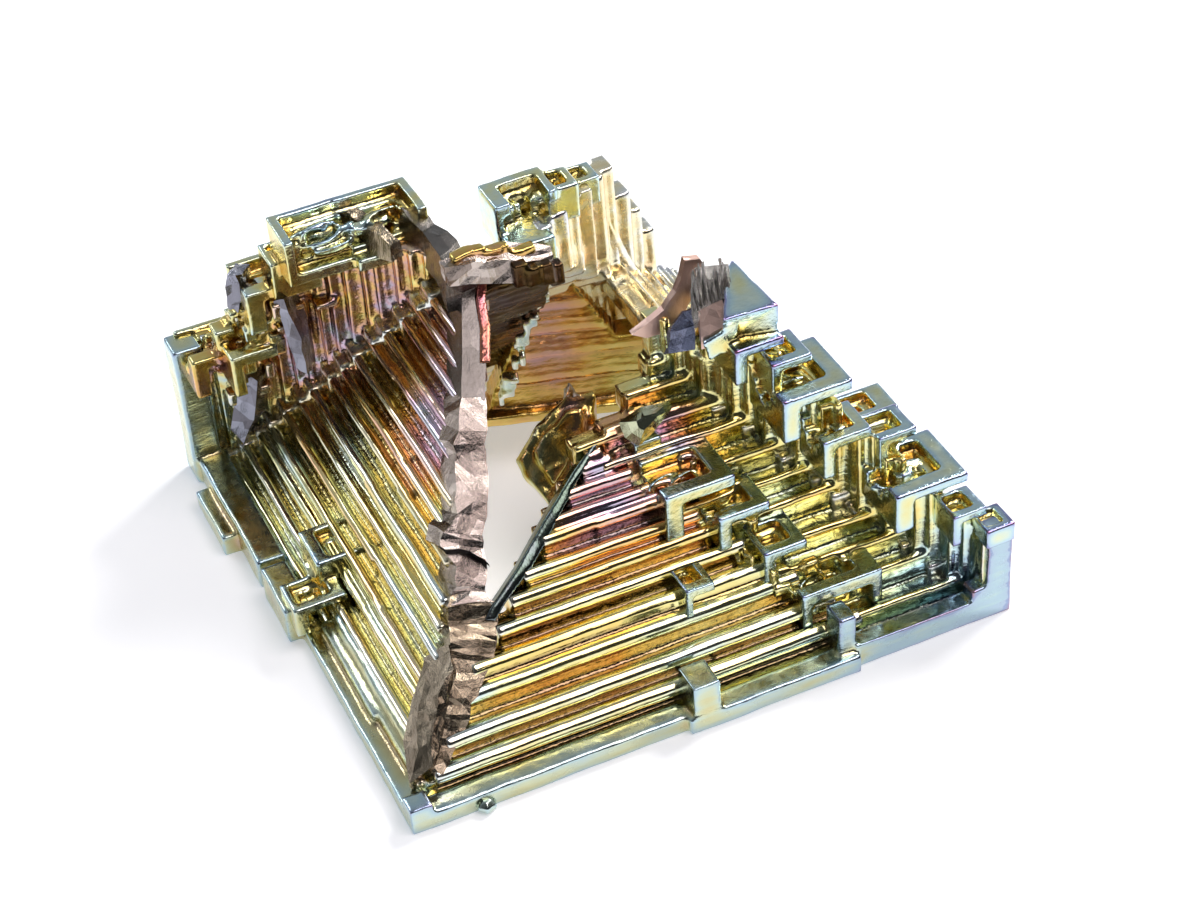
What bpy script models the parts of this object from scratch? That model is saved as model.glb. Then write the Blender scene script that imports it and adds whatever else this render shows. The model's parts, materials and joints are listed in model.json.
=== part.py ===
"""Bismuth hopper crystal: the lower half of a hollow cube, grown as nested square frames.

Four stepped walls lean inwards from the four bottom edges and leave a square hollow below. A
stepped fin stands on the diagonal of the left, right and far corners, with small hopper blocks
along its top. The near corner's fin is broken off, and beside the break a V-shaped gap parts the
left wall from the front wall.

Lengths are in millimetres until a mesh is made. X runs along the front bottom edge, Y along the
left bottom edge away from the viewer, Z up, and the near bottom corner is at zero. The finished
crystal is moved so that the middle of its box, on the table, is the origin.
"""

import math
import random

import bmesh
import bpy
from mathutils import Matrix, Vector

MM = 0.001
EDGE = 40.0
BACK_EDGE = 38.6
REACH = ((-1.9, 40.3), (-0.7, 38.9))  # the box that the proudest rim pieces give, in X and Y
PITCH = 1.25
PITCH_SWING = 0.16
BAR_WIDTH = 1.9
BAR_HEIGHT = 1.65
BAR_TOP = 1.0
RIM_HEIGHT = 1.15
LEFT_LEAN = 0.8
BACK_LEAN = 0.66

FRONT_TOP = 14.6
LEFT_TOP = 18.7
RIGHT_TOP = 12.5
BACK_TOP = 18.7
FRONT_FOOT_X = 1.3  # the V gap's right side at the rim
FRONT_CURVE = 0.03  # how much it bends to the right on the way up, per millimetre
FRONT_BREAK = 12.6  # above this height the front wall is broken away up to FRONT_BREAK_X
FRONT_BREAK_X = 22.4
LEFT_FOOT_Y = 0.6
LEFT_CURVE = 0.27

RIGHT_FIN_FOOT = 7.0
RIGHT_FIN_SLOPE = 1.36
RIGHT_FIN_END = 13.2
RIGHT_FIN_TOP = 20.7
LEFT_FIN_FOOT = 10.8
LEFT_FIN_SLOPE = 1.5
LEFT_FIN_TOP = 21.0
FAR_FIN_START = 8.4
FAR_FIN_FOOT = 8.4
FAR_FIN_SLOPE = 2.3
FAR_FIN_TOP = 20.9
FAR_FIN_END = 19.0

STUMP_STEPS = 5
STUMP_X = (14.2, 17.0)
STUMP_Y = (22.9, 25.7)
STUMP_Z = (18.0, 21.0)
PILLAR = ((18.4, 21.4), (20.8, 27.0), (18.3, 20.9))

GRAIN_CORNER = (17.4, 28.6, 3.9)
GRAIN_YAW = math.radians(-8.0)
GRAIN_SIDE = 9.6
GRAIN_WIDTH = 12.6
GRAIN_STEPS = 6
GRAIN_PITCH = 0.95
GRAIN_TAPER = 0.8
GRAIN_BITE = 0.2

RIBBON_HEIGHTS = (2.0, 4.4, 6.6, 8.6, 10.9, 13.0, 15.2, 17.0, 19.4)
RIBBON_WIDTH = 1.5
RIBBON_JAG = 0.22
RIBBON_SEED = 4
SHEET_Y = (15.0, 16.5)
FRAGMENT_PLACE = (18.2, 15.4, 10.2)
FRAGMENT_YAW = math.radians(24.0)
FRAGMENT_STEPS = 4
FRAGMENT_HALF = 2.9
METAL_COLOUR = (0.52, 0.44, 0.24, 1.0)
METAL_ROUGHNESS = 0.25


def clear_scene():
    for obj in list(bpy.data.objects):
        bpy.data.objects.remove(obj)


def levels(top):
    """Heights of the nested frames from the rim up to top, with the uneven pitch of real growth."""
    found = [0.0]
    while found[-1] < top:
        swing = PITCH_SWING * math.sin(2.4 * len(found) + 0.6)
        found.append(found[-1] + PITCH * (1 + swing))
    return found[:-1]


def block(mesh, x, y, z, turn=None):
    """One box; x, y and z are its (low, high) sides."""
    matrix = turn or Matrix.Identity(4)
    corners = [
        mesh.verts.new(matrix @ Vector((x[i], y[j], z[k])))
        for k in (0, 1)
        for j in (0, 1)
        for i in (0, 1)
    ]
    for sides in ((0, 2, 3, 1), (4, 5, 7, 6), (0, 1, 5, 4), (2, 6, 7, 3), (0, 4, 6, 2), (1, 3, 7, 5)):
        mesh.faces.new([corners[n] for n in sides])


def sweep(mesh, rings):
    """A closed body through rings of points, with as many points in each, and flat ends."""
    made = [[mesh.verts.new(point) for point in ring] for ring in rings]
    count = len(made[0])
    for low, high in zip(made, made[1:]):
        for n in range(count):
            after = (n + 1) % count
            mesh.faces.new((low[n], low[after], high[after], high[n]))
    mesh.faces.new(made[0][::-1])
    mesh.faces.new(made[-1])


def front_start(height):
    """X at which the front wall's bars end along the V gap."""
    if height > FRONT_BREAK:
        return FRONT_BREAK_X
    return FRONT_FOOT_X + height * (1.0 + FRONT_CURVE * height)


def left_start(height):
    """Y at which the left wall's bars end along the broken edge."""
    return LEFT_FOOT_Y + height * (1.0 + LEFT_CURVE * (height / LEFT_TOP) ** 3)


def back(level):
    """Y of the back wall's outer side at a level."""
    return BACK_EDGE - BACK_LEAN * level


def wall_height(level):
    """Underside and top of a bar; the rim's bars lie on the table."""
    low = level - (BAR_HEIGHT - BAR_TOP) if level > 0 else 0.0
    return low, level + (BAR_TOP if level > 0 else RIM_HEIGHT)


def front_wall(mesh):
    for level in levels(FRONT_TOP):
        block(
            mesh,
            (front_start(level), EDGE - level),
            (level, level + BAR_WIDTH),
            wall_height(level),
        )


def left_wall(mesh):
    for level in levels(LEFT_TOP):
        inset = LEFT_LEAN * level
        block(
            mesh,
            (inset, inset + BAR_WIDTH),
            (left_start(level), back(level)),
            wall_height(level),
        )


def right_wall(mesh):
    for level in levels(RIGHT_TOP):
        block(
            mesh,
            (EDGE - level - BAR_WIDTH, EDGE - level),
            (level, back(level)),
            wall_height(level),
        )


def back_wall(mesh):
    for level in levels(BACK_TOP):
        block(
            mesh,
            (LEFT_LEAN * level, EDGE - level),
            (back(level) - BAR_WIDTH, back(level)),
            wall_height(level),
        )


def right_fin(mesh):
    for level in levels(RIGHT_FIN_END):
        block(
            mesh,
            (EDGE - level - BAR_WIDTH, EDGE - level),
            (level, level + BAR_WIDTH),
            (wall_height(level)[0], min(RIGHT_FIN_FOOT + RIGHT_FIN_SLOPE * level, RIGHT_FIN_TOP)),
        )


def left_fin(mesh):
    for level in levels(LEFT_TOP):
        inset = LEFT_LEAN * level
        top = min(LEFT_FIN_FOOT + LEFT_FIN_SLOPE * inset, LEFT_FIN_TOP)
        block(
            mesh,
            (inset, inset + BAR_WIDTH),
            (back(level) - BAR_WIDTH, back(level)),
            (wall_height(level)[0], top),
        )


def far_fin(mesh):
    for level in levels(FAR_FIN_END):
        top = level + BAR_TOP
        if level > FAR_FIN_START:
            top = min(FAR_FIN_FOOT + FAR_FIN_SLOPE * (level - FAR_FIN_START), FAR_FIN_TOP)
        block(
            mesh,
            (EDGE - level - BAR_WIDTH, EDGE - level),
            (back(level) - BAR_WIDTH, back(level)),
            (wall_height(level)[0], top),
        )


def centre(mesh):
    """The broken stump where the fins meet, and the pillar that carries the far hopper block."""
    for step in range(STUMP_STEPS):
        block(
            mesh,
            (STUMP_X[0] + step, STUMP_X[1] + step),
            (STUMP_Y[0] - step, STUMP_Y[1] - step),
            (STUMP_Z[0] + 0.1 * step, STUMP_Z[1] - 0.2 * step),
        )
    block(mesh, *PILLAR)


def rims(mesh):
    """Stretches of the rim that stand proud of it, its corner posts and the nub below it."""
    block(mesh, (17.8, 29.5), (-0.4, 1.1), (0.0, 1.3))
    block(mesh, (-0.8, 1.2), (24.6, 38.4), (0.0, 2.1))
    block(mesh, (REACH[0][0], 0.4), (28.7, 34.2), (0.0, 1.5))
    block(mesh, (-0.9, 0.9), (18.9, 23.6), (0.0, 2.6))
    block(mesh, (0.0, 1.7), (0.0, 1.7), (0.0, 2.7))
    block(mesh, (-1.1, 0.9), (36.6, REACH[1][1]), (0.0, 11.0))
    block(mesh, (38.5, REACH[0][1]), (-0.1, 1.7), (0.0, 7.0))
    block(mesh, (3.7, 4.8), (REACH[1][0], 0.9), (0.0, 0.6))


RIGHT_BLOCKS = (
    ((37.4, 39.3), (0.7, 3.0), (5.6, 7.9)),
    ((33.5, 38.1), (1.9, 6.9), (8.3, 10.4)),
    ((33.9, 36.1), (4.9, 7.8), (9.8, 12.4)),
    ((30.4, 33.7), (6.0, 9.0), (10.4, 13.0)),
    ((28.7, 32.9), (7.1, 11.8), (13.8, 16.2)),
    ((28.4, 31.0), (8.8, 11.6), (14.9, 17.3)),
    ((26.8, 29.7), (10.0, 12.9), (16.4, 18.6)),
    ((25.2, 29.8), (10.2, 14.2), (18.4, 21.0)),
    ((27.4, 29.6), (13.0, 16.0), (18.7, 21.0)),
    ((33.0, 39.2), (12.4, 15.0), (6.1, 8.1)),
)

CHAIN_BLOCKS = (
    ((20.9, 25.2), (8.2, 11.8), (8.4, 11.4)),
    ((23.4, 26.9), (7.0, 9.4), (7.2, 9.2)),
    ((25.5, 28.0), (5.2, 7.6), (4.9, 6.9)),
    ((27.2, 32.2), (3.0, 6.0), (2.7, 4.5)),
    ((28.2, 29.5), (0.5, 2.2), (0.3, 4.0)),
    ((20.3, 21.8), (4.9, 7.2), (4.6, 6.5)),
    ((18.2, 20.0), (-0.2, 1.9), (0.2, 3.5)),
    ((20.4, 22.6), (11.6, 13.9), (11.3, 13.8)),
)

LEFT_BLOCKS = (
    ((0.7, 4.2), (19.0, 23.0), (2.1, 4.7)),
    ((-0.4, 3.8), (34.7, 38.8), (8.6, 11.3)),
    ((1.6, 4.6), (32.2, 36.4), (9.6, 12.4)),
    ((3.2, 7.8), (32.0, 35.7), (14.6, 17.3)),
    ((5.0, 8.2), (31.4, 33.8), (16.8, 19.4)),
    ((5.8, 14.9), (27.6, 32.8), (19.2, 21.9)),
    ((12.2, 14.4), (26.1, 28.6), (18.8, 21.9)),
)

FAR_BLOCKS = (
    ((18.2, 22.4), (25.6, 28.6), (19.4, 22.6)),
    ((21.9, 24.0), (25.9, 28.2), (19.8, 22.3)),
    ((24.4, 26.3), (27.9, 29.9), (18.8, 20.9)),
)

# Each pit is the square hollow in one block's face.
PITS = (
    ((34.3, 37.2), (2.9, 6.1), (9.3, 10.9)),
    ((29.6, 32.0), (8.1, 10.7), (14.9, 16.9)),
    ((31.1, 33.0), (5.6, 7.4), (11.1, 12.4)),
    ((21.9, 24.4), (9.3, 11.0), (9.6, 11.9)),
    ((24.2, 26.1), (7.6, 8.8), (8.3, 9.6)),
    ((28.0, 31.4), (3.8, 5.3), (3.7, 4.9)),
    ((1.4, 3.5), (19.7, 22.3), (3.4, 5.1)),
    ((-1.5, -0.2), (19.8, 22.6), (0.7, 2.0)),
    ((0.7, 2.9), (35.6, 37.9), (10.2, 11.7)),
    ((4.1, 6.8), (32.9, 34.8), (16.2, 17.8)),
    ((6.6, 9.1), (27.2, 31.6), (20.4, 22.4)),
    ((9.9, 13.6), (27.2, 31.6), (20.1, 22.4)),
    ((18.9, 21.6), (25.2, 27.8), (20.2, 23.0)),
)


def hopper_blocks(mesh):
    for group in (RIGHT_BLOCKS, CHAIN_BLOCKS, LEFT_BLOCKS, FAR_BLOCKS):
        for sides in group:
            block(mesh, *sides)


def grain_step(mesh, place, width, height, front):
    """One step of the grain, from its front face back into the slope of the back wall."""
    low, high = height
    room = back(GRAIN_CORNER[2]) - GRAIN_CORNER[1] + GRAIN_BITE
    outline = (
        (front, low),
        (room - BACK_LEAN * low, low),
        (room - BACK_LEAN * high, high),
        (front, high),
    )
    sweep(mesh, [[place @ Vector((x, y, z)) for y, z in outline] for x in width])


def inner_grain(mesh):
    """A smaller grain turned against the crystal, whose stepped pit shows through the gap."""
    place = Matrix.Translation(GRAIN_CORNER) @ Matrix.Rotation(GRAIN_YAW, 4, "Z")
    for step in range(GRAIN_STEPS):
        front = GRAIN_PITCH * step
        end = GRAIN_WIDTH - GRAIN_TAPER * step
        grain_step(mesh, place, (step - 0.9, end), (step - 0.6, step + 0.9), front)
        grain_step(mesh, place, (step - 1.6, step + 0.1), (0.0, GRAIN_SIDE - step), front)


def broken_edge(mesh):
    """The torn ribbon along the left wall's near edge, from near the table up to the top."""
    chance = random.Random(RIBBON_SEED)
    rings = []
    for height in RIBBON_HEIGHTS:
        across = Vector((1.0, -0.45, 0.0))
        along = Vector((-0.25, 0.6, -0.5))
        base = Vector((LEFT_LEAN * height + 0.5, left_start(height) + 0.5, height))
        width = RIBBON_WIDTH + chance.uniform(-0.3, 0.35)
        jag = Vector([chance.uniform(-RIBBON_JAG, RIBBON_JAG) for _ in range(3)])
        near = base + jag
        rings.append(
            [near + along, near + along + across * width, near + across * width, near - along * 0.5]
        )
    sweep(mesh, rings)


def torn_sheet(mesh):
    """The sheet of the right fin that was left standing when the centre broke out; X and Z."""
    outline = (
        (26.2, 21.3), (26.0, 19.5), (24.6, 17.9), (23.2, 16.5), (22.4, 14.9),
        (23.2, 14.0), (26.6, 15.2), (28.4, 18.9), (27.6, 21.3),
    )
    sweep(mesh, [[Vector((x, y, z)) for x, z in outline] for y in SHEET_Y])


def centre_fragment(mesh):
    """The small hopper fragment that leans on the front wall's back beside the gap."""
    turn = Matrix.Translation(FRAGMENT_PLACE) @ Matrix.Rotation(FRAGMENT_YAW, 4, "Z")
    for step in range(FRAGMENT_STEPS):
        half = FRAGMENT_HALF - 0.6 * step
        block(mesh, (-half, half + 0.5), (-1.6 + step * 0.9, 1.2 + step * 0.9), (-half, half), turn)


def mesh_object(name, fill):
    """An object that holds the closed bodies that fill adds to an empty mesh."""
    mesh = bmesh.new()
    fill(mesh)
    bmesh.ops.recalc_face_normals(mesh, faces=mesh.faces)
    data = bpy.data.meshes.new(name)
    mesh.to_mesh(data)
    mesh.free()
    obj = bpy.data.objects.new(name, data)
    bpy.context.scene.collection.objects.link(obj)
    return obj


def boolean(target, cutter, operation):
    modifier = target.modifiers.new(cutter.name, "BOOLEAN")
    modifier.operation = operation
    modifier.object = cutter
    modifier.use_self = True
    return modifier


def bismuth():
    material = bpy.data.materials.new("bismuth")
    material.use_nodes = True
    shader = material.node_tree.nodes["Principled BSDF"]
    shader.inputs["Base Color"].default_value = METAL_COLOUR
    shader.inputs["Metallic"].default_value = 1.0
    shader.inputs["Roughness"].default_value = METAL_ROUGHNESS
    return material


def front_rim(mesh):
    """The front bottom edge, which all the rest is joined to."""
    block(mesh, (0.0, EDGE), (0.0, BAR_WIDTH), (0.0, RIM_HEIGHT))


def growth(mesh):
    front_wall(mesh)
    left_wall(mesh)
    right_wall(mesh)
    back_wall(mesh)
    right_fin(mesh)
    left_fin(mesh)
    far_fin(mesh)
    centre(mesh)
    rims(mesh)
    hopper_blocks(mesh)
    inner_grain(mesh)
    broken_edge(mesh)
    torn_sheet(mesh)
    centre_fragment(mesh)


def pits(mesh):
    for sides in PITS:
        block(mesh, *sides)


def crystal():
    """The joined solid, moved to its origin and turned from millimetres into metres."""
    rough = mesh_object("rough", front_rim)
    boolean(rough, mesh_object("growth", growth), "UNION")
    boolean(rough, mesh_object("pits", pits), "DIFFERENCE")
    graph = bpy.context.evaluated_depsgraph_get()
    data = bpy.data.meshes.new_from_object(rough.evaluated_get(graph))
    data.transform(
        Matrix.Scale(MM, 4)
        @ Matrix.Translation((-sum(REACH[0]) / 2, -sum(REACH[1]) / 2, 0.0))
    )
    data.materials.append(bismuth())
    for helper in list(bpy.data.objects):
        bpy.data.objects.remove(helper)
    body = bpy.data.objects.new("bismuth_crystal", data)
    bpy.context.scene.collection.objects.link(body)
    return body


clear_scene()
crystal()
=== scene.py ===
import itertools
import json
import math
import random

import bmesh
import bpy
import numpy as np
from mathutils import Matrix, Vector, noise

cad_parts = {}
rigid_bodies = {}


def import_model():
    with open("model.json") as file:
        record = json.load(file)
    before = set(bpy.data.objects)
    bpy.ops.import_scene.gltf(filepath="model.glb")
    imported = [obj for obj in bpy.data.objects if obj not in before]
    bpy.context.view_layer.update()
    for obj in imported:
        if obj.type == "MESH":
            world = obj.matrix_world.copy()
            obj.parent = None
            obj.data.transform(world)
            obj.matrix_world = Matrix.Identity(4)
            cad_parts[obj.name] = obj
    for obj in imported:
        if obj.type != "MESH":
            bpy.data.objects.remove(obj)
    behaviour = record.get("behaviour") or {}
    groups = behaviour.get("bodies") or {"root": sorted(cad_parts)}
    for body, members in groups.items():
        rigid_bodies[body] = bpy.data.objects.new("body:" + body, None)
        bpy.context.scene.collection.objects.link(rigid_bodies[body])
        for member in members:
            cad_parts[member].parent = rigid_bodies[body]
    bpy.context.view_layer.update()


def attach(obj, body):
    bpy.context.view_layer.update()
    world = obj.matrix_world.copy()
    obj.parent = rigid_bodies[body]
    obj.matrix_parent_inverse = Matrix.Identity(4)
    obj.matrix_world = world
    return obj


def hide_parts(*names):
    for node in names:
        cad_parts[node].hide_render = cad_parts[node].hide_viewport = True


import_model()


# The view of the crystal
# The camera looks down at it from the front and the left, from about 17 cm away, tilted a little.
LENS_MM = 81.6
EYE = (-0.047912, -0.124294, 0.117503)
AZIMUTH, ELEVATION, ROLL = math.radians(-21.9), math.radians(39.6), math.radians(-4.6)
shown = bpy.context.scene.collection.objects
camera = bpy.data.objects.new("camera", bpy.data.cameras.new("camera"))
shown.link(camera)
camera.data.lens = LENS_MM
camera.data.sensor_width = 36.0
camera.data.clip_start = 0.001
camera.data.clip_end = 10.0
ahead = Vector((
    -math.sin(AZIMUTH) * math.cos(ELEVATION),
    math.cos(AZIMUTH) * math.cos(ELEVATION),
    -math.sin(ELEVATION),
))
level_right = Vector((math.cos(AZIMUTH), math.sin(AZIMUTH), 0.0))
level_up = level_right.cross(ahead)
right = math.cos(ROLL) * level_right + math.sin(ROLL) * level_up
up = -math.sin(ROLL) * level_right + math.cos(ROLL) * level_up
camera.matrix_world = Matrix((*zip(right, up, -ahead, EYE), (0.0, 0.0, 0.0, 1.0)))
bpy.context.scene.camera = camera


# The table
# A white card under the crystal, large enough to fill the view from any side. It glows slightly, so
# that the ground comes out as white as in a studio picture.
CARD_DROP = 0.00002  # the card lies this far under the crystal, so that the two never share a plane
card = bmesh.new()
bmesh.ops.create_grid(card, x_segments=1, y_segments=1, size=1.2)
card_data = bpy.data.meshes.new("white_card")
card.to_mesh(card_data)
card.free()
table = bpy.data.objects.new("white_card", card_data)
shown.link(table)
table.location.z = -CARD_DROP
white = bpy.data.materials.new("white_card")
white.use_nodes = True
for socket, value in {
    "Base Color": (0.9, 0.91, 0.93, 1.0), "Roughness": 0.9,
    "Emission Color": (0.93, 0.96, 1.0, 1.0), "Emission Strength": 0.38,
}.items():
    white.node_tree.nodes["Principled BSDF"].inputs[socket].default_value = value
table.data.materials.append(white)


# The light
# Soft studio light: a window-like box above on the right, a strip overhead that draws the bright
# lines along the ridges, a weaker box at the back left, and a room that is dim behind the camera.
def softbox(name, toward, away, size, power, colour):
    data = bpy.data.lights.new(name, "AREA")
    data.shape = "RECTANGLE"
    data.size, data.size_y = size
    data.energy = power
    data.color = colour
    light = bpy.data.objects.new(name, data)
    shown.link(light)
    light.location = Vector(toward).normalized() * away
    light.rotation_euler = (-light.location).to_track_quat("-Z", "Y").to_euler()


softbox("window", (0.70, 0.30, 0.72), 1.2, (0.40, 0.35), 11.0, (1.0, 0.98, 0.95))
softbox("top_box", (0.29, -0.36, 0.89), 1.1, (0.70, 0.55), 5.2, (1.0, 0.90, 0.90))
softbox("left_box", (-0.42, 0.70, 0.57), 1.1, (0.30, 0.25), 1.2, (0.93, 0.95, 1.0))

room = bpy.data.worlds.new("dim_room")
bpy.context.scene.world = room
room.use_nodes = True
direction = room.node_tree.nodes.new("ShaderNodeTexCoord")
split = room.node_tree.nodes.new("ShaderNodeSeparateXYZ")
fade = room.node_tree.nodes.new("ShaderNodeMapRange")
for label, value in {"From Min": -0.6, "From Max": 0.8, "To Min": 0.05, "To Max": 0.50}.items():
    fade.inputs[label].default_value = value
room.node_tree.links.new(direction.outputs["Generated"], split.inputs[0])
room.node_tree.links.new(split.outputs["Y"], fade.inputs["Value"])
room.node_tree.links.new(fade.outputs[0], room.node_tree.nodes["Background"].inputs["Strength"])
room.node_tree.nodes["Background"].inputs["Color"].default_value = (0.88, 0.94, 1.0, 1.0)
bpy.context.scene.view_settings.view_transform = "Standard"


# The front wall
# Bismuth grows as nested square frames, each a step higher and further in than the last. The wall is
# their fronts: thick rounded bars of metal with sunken treads between, under a thin film of oxide.
MM = 0.001
CORNER = Vector((-19.2, -19.1, 0.0))  # the first frame's near corner, which places are measured from
VOXEL = 0.18  # millimetres; the grid on which the boxes of a piece are run together


def add(tree, kind, inputs=None, **settings):
    """A new node, with its settings and with its inputs linked to sockets or set to values."""
    node = tree.nodes.new(kind)
    for name, value in settings.items():
        setattr(node, name, value)
    for key, value in (inputs or {}).items():
        value = value.socket if isinstance(value, Field) else value
        if isinstance(value, bpy.types.NodeSocket):
            tree.links.new(value, node.inputs[key])
        elif node.inputs[key].type == "RGBA":
            node.inputs[key].default_value = (*value, 1.0)
        else:
            node.inputs[key].default_value = value
    return node


class Field:
    """A number or a vector in a node tree, so that sums of them read as sums."""

    def __init__(self, tree, socket):
        self.tree = tree
        self.socket = socket
        self.kind = "ShaderNodeVectorMath" if socket.type == "VECTOR" else "ShaderNodeMath"

    def maths(self, operation, *others):
        node = add(self.tree, self.kind, dict(enumerate((self, *others))), operation=operation)
        return Field(self.tree, node.outputs["Value" if operation == "DISTANCE" else 0])

    def scaled(self, amount):
        node = add(self.tree, self.kind, {0: self, "Scale": amount}, operation="SCALE")
        return Field(self.tree, node.outputs[0])

    def __add__(self, other):
        return self.maths("ADD", other)

    def __sub__(self, other):
        return self.maths("SUBTRACT", other)

    def __mul__(self, other):
        return self.maths("MULTIPLY", other)


def vector(tree, x, y, z):
    return Field(tree, add(tree, "ShaderNodeCombineXYZ", {"X": x, "Y": y, "Z": z}).outputs[0])


def new_tree(name, kind, inputs, outputs):
    """A node tree; inputs are {label: (kind of socket, first value)}, outputs {label: kind}."""
    tree = bpy.data.node_groups.new(name, kind)
    for label, (socket_kind, value) in inputs.items():
        socket = tree.interface.new_socket(label, in_out="INPUT", socket_type="NodeSocket" + socket_kind)
        if value is not None:
            socket.default_value = value
    for label, socket_kind in outputs.items():
        tree.interface.new_socket(label, in_out="OUTPUT", socket_type="NodeSocket" + socket_kind)
    given = {socket.name: Field(tree, socket) for socket in tree.nodes.new("NodeGroupInput").outputs}
    return tree, given, tree.nodes.new("NodeGroupOutput").inputs


def new_growth(name, inputs):
    """A tree that adds growth of its own to the mesh that it is given."""
    inputs = {"Geometry": ("Geometry", None), **inputs, "Material": ("Material", None)}
    return new_tree(name, "GeometryNodeTree", inputs, {"Geometry": "Geometry"})


def end_growth(tree, given, out, parts):
    joined = add(tree, "GeometryNodeJoinGeometry")
    for part in (*parts, given["Geometry"].socket):
        tree.links.new(part, joined.inputs[0])
    real = add(tree, "GeometryNodeRealizeInstances", {"Geometry": joined.outputs[0]})
    painted = add(tree, "GeometryNodeSetMaterial", {
        "Geometry": real.outputs[0], "Material": given["Material"],
    })
    tree.links.new(painted.outputs[0], out["Geometry"])
    return tree


def chance(tree, given, key, shift, low=0.0, high=1.0):
    """A random number for each key, from the tree's own seed moved on by shift."""
    node = add(tree, "FunctionNodeRandomValue", {
        2: low, 3: high, "ID": key, "Seed": given["Seed"] + float(shift),
    }, data_type="FLOAT")
    return Field(tree, node.outputs[1])


def scatter(tree, line, places, shape, sizes, chosen=True):
    """A shape set on each point of a line, moved to its place and drawn out to its size."""
    moved = add(tree, "GeometryNodeSetPosition", {"Geometry": line.outputs["Mesh"], "Position": places})
    return add(tree, "GeometryNodeInstanceOnPoints", {
        "Points": moved.outputs[0], "Instance": shape, "Scale": sizes, "Selection": chosen,
    }).outputs[0]


def terrace_tree():
    """One wall's bars, their rounded lips and the posts at their ends, in millimetres."""
    tree, given, out = new_growth("terraces", {
        "Steps": ("Int", 12), "Base": ("Float", 0.0), "Pitch": ("Float", 1.2), "Pitch Fall": ("Float", 0.0),
        "Swing": ("Float", 0.15), "Phase": ("Float", 0.6), "Lean": ("Float", 1.0),
        "Start": ("Float", 0.0), "Start Slope": ("Float", 1.0), "Start Curve": ("Float", 0.0),
        "End": ("Float", 40.0), "End Slope": ("Float", 1.0), "Bar Rise": ("Float", 0.7),
        "Lip": ("Float", 0.35), "Lip Height": ("Float", 0.25), "Recess": ("Float", 0.0),
        "Step Over": ("Float", 0.18), "Post Width": ("Float", 0.0), "Post Foot": ("Float", 7.0),
        "Post Slope": ("Float", 1.4), "Post Top": ("Float", 20.0), "Bar Depth": ("Float", 1.7),
        "Bar Height": ("Float", 1.5), "Seed": ("Int", 0), "Facet": ("Float", 15.5),
        "Origin": ("Vector", (0.0, 0.0, 0.0)), "Along": ("Vector", (1.0, 0.0, 0.0)),
        "Inward": ("Vector", (0.0, 1.0, 0.0)), "Turn": ("Vector", (0.0, math.pi / 2, 0.0)),
    })
    # Each frame's front is two bars end to end, with a small jog where they meet.
    index = Field(tree, add(tree, "GeometryNodeInputIndex").outputs[0])
    step = (index * 0.5).maths("FLOOR")
    half = index.maths("MODULO", 2.0)
    height = given["Base"] + given["Pitch"] * step - given["Pitch Fall"] * (step * step)
    sway = (step * 2.4 + given["Phase"]).maths("SINE")
    height = (height + sway * given["Swing"]).maths("MAXIMUM", 0.0)
    inset = height * given["Lean"]
    start = given["Start"] + given["Start Slope"] * height + given["Start Curve"] * (height * height)
    end = given["End"] - given["End Slope"] * height
    middle = start + (end - start) * chance(tree, given, step, 0, 0.25, 0.75)
    low = start + half * (middle - 0.5 - start)
    high = middle + 0.5 + half * (end - (middle + 0.5))
    over = chance(tree, given, index, 3, -1.0, 1.0) * given["Step Over"]
    length = (high - low).maths("MAXIMUM", 0.01)
    long_enough = length.maths("GREATER_THAN", 0.6)
    centre = (low + high) * 0.5
    front_face = (inset + over).maths("MAXIMUM", 0.0)
    top = height + given["Bar Rise"] + over * 0.6
    bottom = (top - given["Bar Height"]).maths("MAXIMUM", 0.0)

    line = add(tree, "GeometryNodeMeshLine", {"Count": given["Steps"] * 2.0, "Offset": (0.0, 0.0, 0.0)})
    cube = add(tree, "GeometryNodeMeshCube", {"Size": (1.0, 1.0, 1.0)}).outputs["Mesh"]
    roll = add(tree, "GeometryNodeMeshCylinder", {
        "Vertices": 8, "Radius": 0.54, "Depth": 1.0,
    }).outputs["Mesh"]
    for turn in (vector(tree, 0.0, 0.0, given["Facet"].maths("RADIANS")), given["Turn"]):
        roll = add(tree, "GeometryNodeTransform", {"Geometry": roll, "Rotation": turn}).outputs[0]

    def boxes(x, y, z, size, chosen, shape=cube):
        long, deep, high = size
        along, inward = given["Along"], given["Inward"]
        place = along.scaled(x) + inward.scaled(y) + vector(tree, 0.0, 0.0, z) + given["Origin"]
        extent = along.maths("ABSOLUTE").scaled(long) + inward.maths("ABSOLUTE").scaled(deep)
        return scatter(tree, line, place, shape, extent + vector(tree, 0.0, 0.0, high), chosen)

    depth, lip = given["Bar Depth"], given["Lip"]
    bars = boxes(centre, front_face + given["Recess"] + depth * 0.5, (top + bottom) * 0.5,
                 (length, depth, top - bottom), long_enough)
    lips = boxes(centre, front_face + lip * 0.5, top,
                 (length, lip, given["Lip Height"] * 2.0), long_enough, roll)
    # A frame's corner stands up as a post, with a narrow rib in front and a thicker back.
    width = given["Post Width"]
    peak = (given["Post Foot"] + given["Post Slope"] * inset).maths("MINIMUM", given["Post Top"])
    stands = (peak - top).maths("GREATER_THAN", half * 99.0)
    stands = width.maths("GREATER_THAN", 0.01) * stands
    tall, waist = peak - bottom, (peak + bottom) * 0.5
    ribs = boxes(end - width * 0.5, inset + width, waist, (width, width * 2.0, tall), stands)
    backs = boxes(end - 0.62, inset + 1.1, waist - 0.1, (1.24, 1.3, tall), stands)
    return end_growth(tree, given, out, (ribs, backs, lips, bars))


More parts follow.
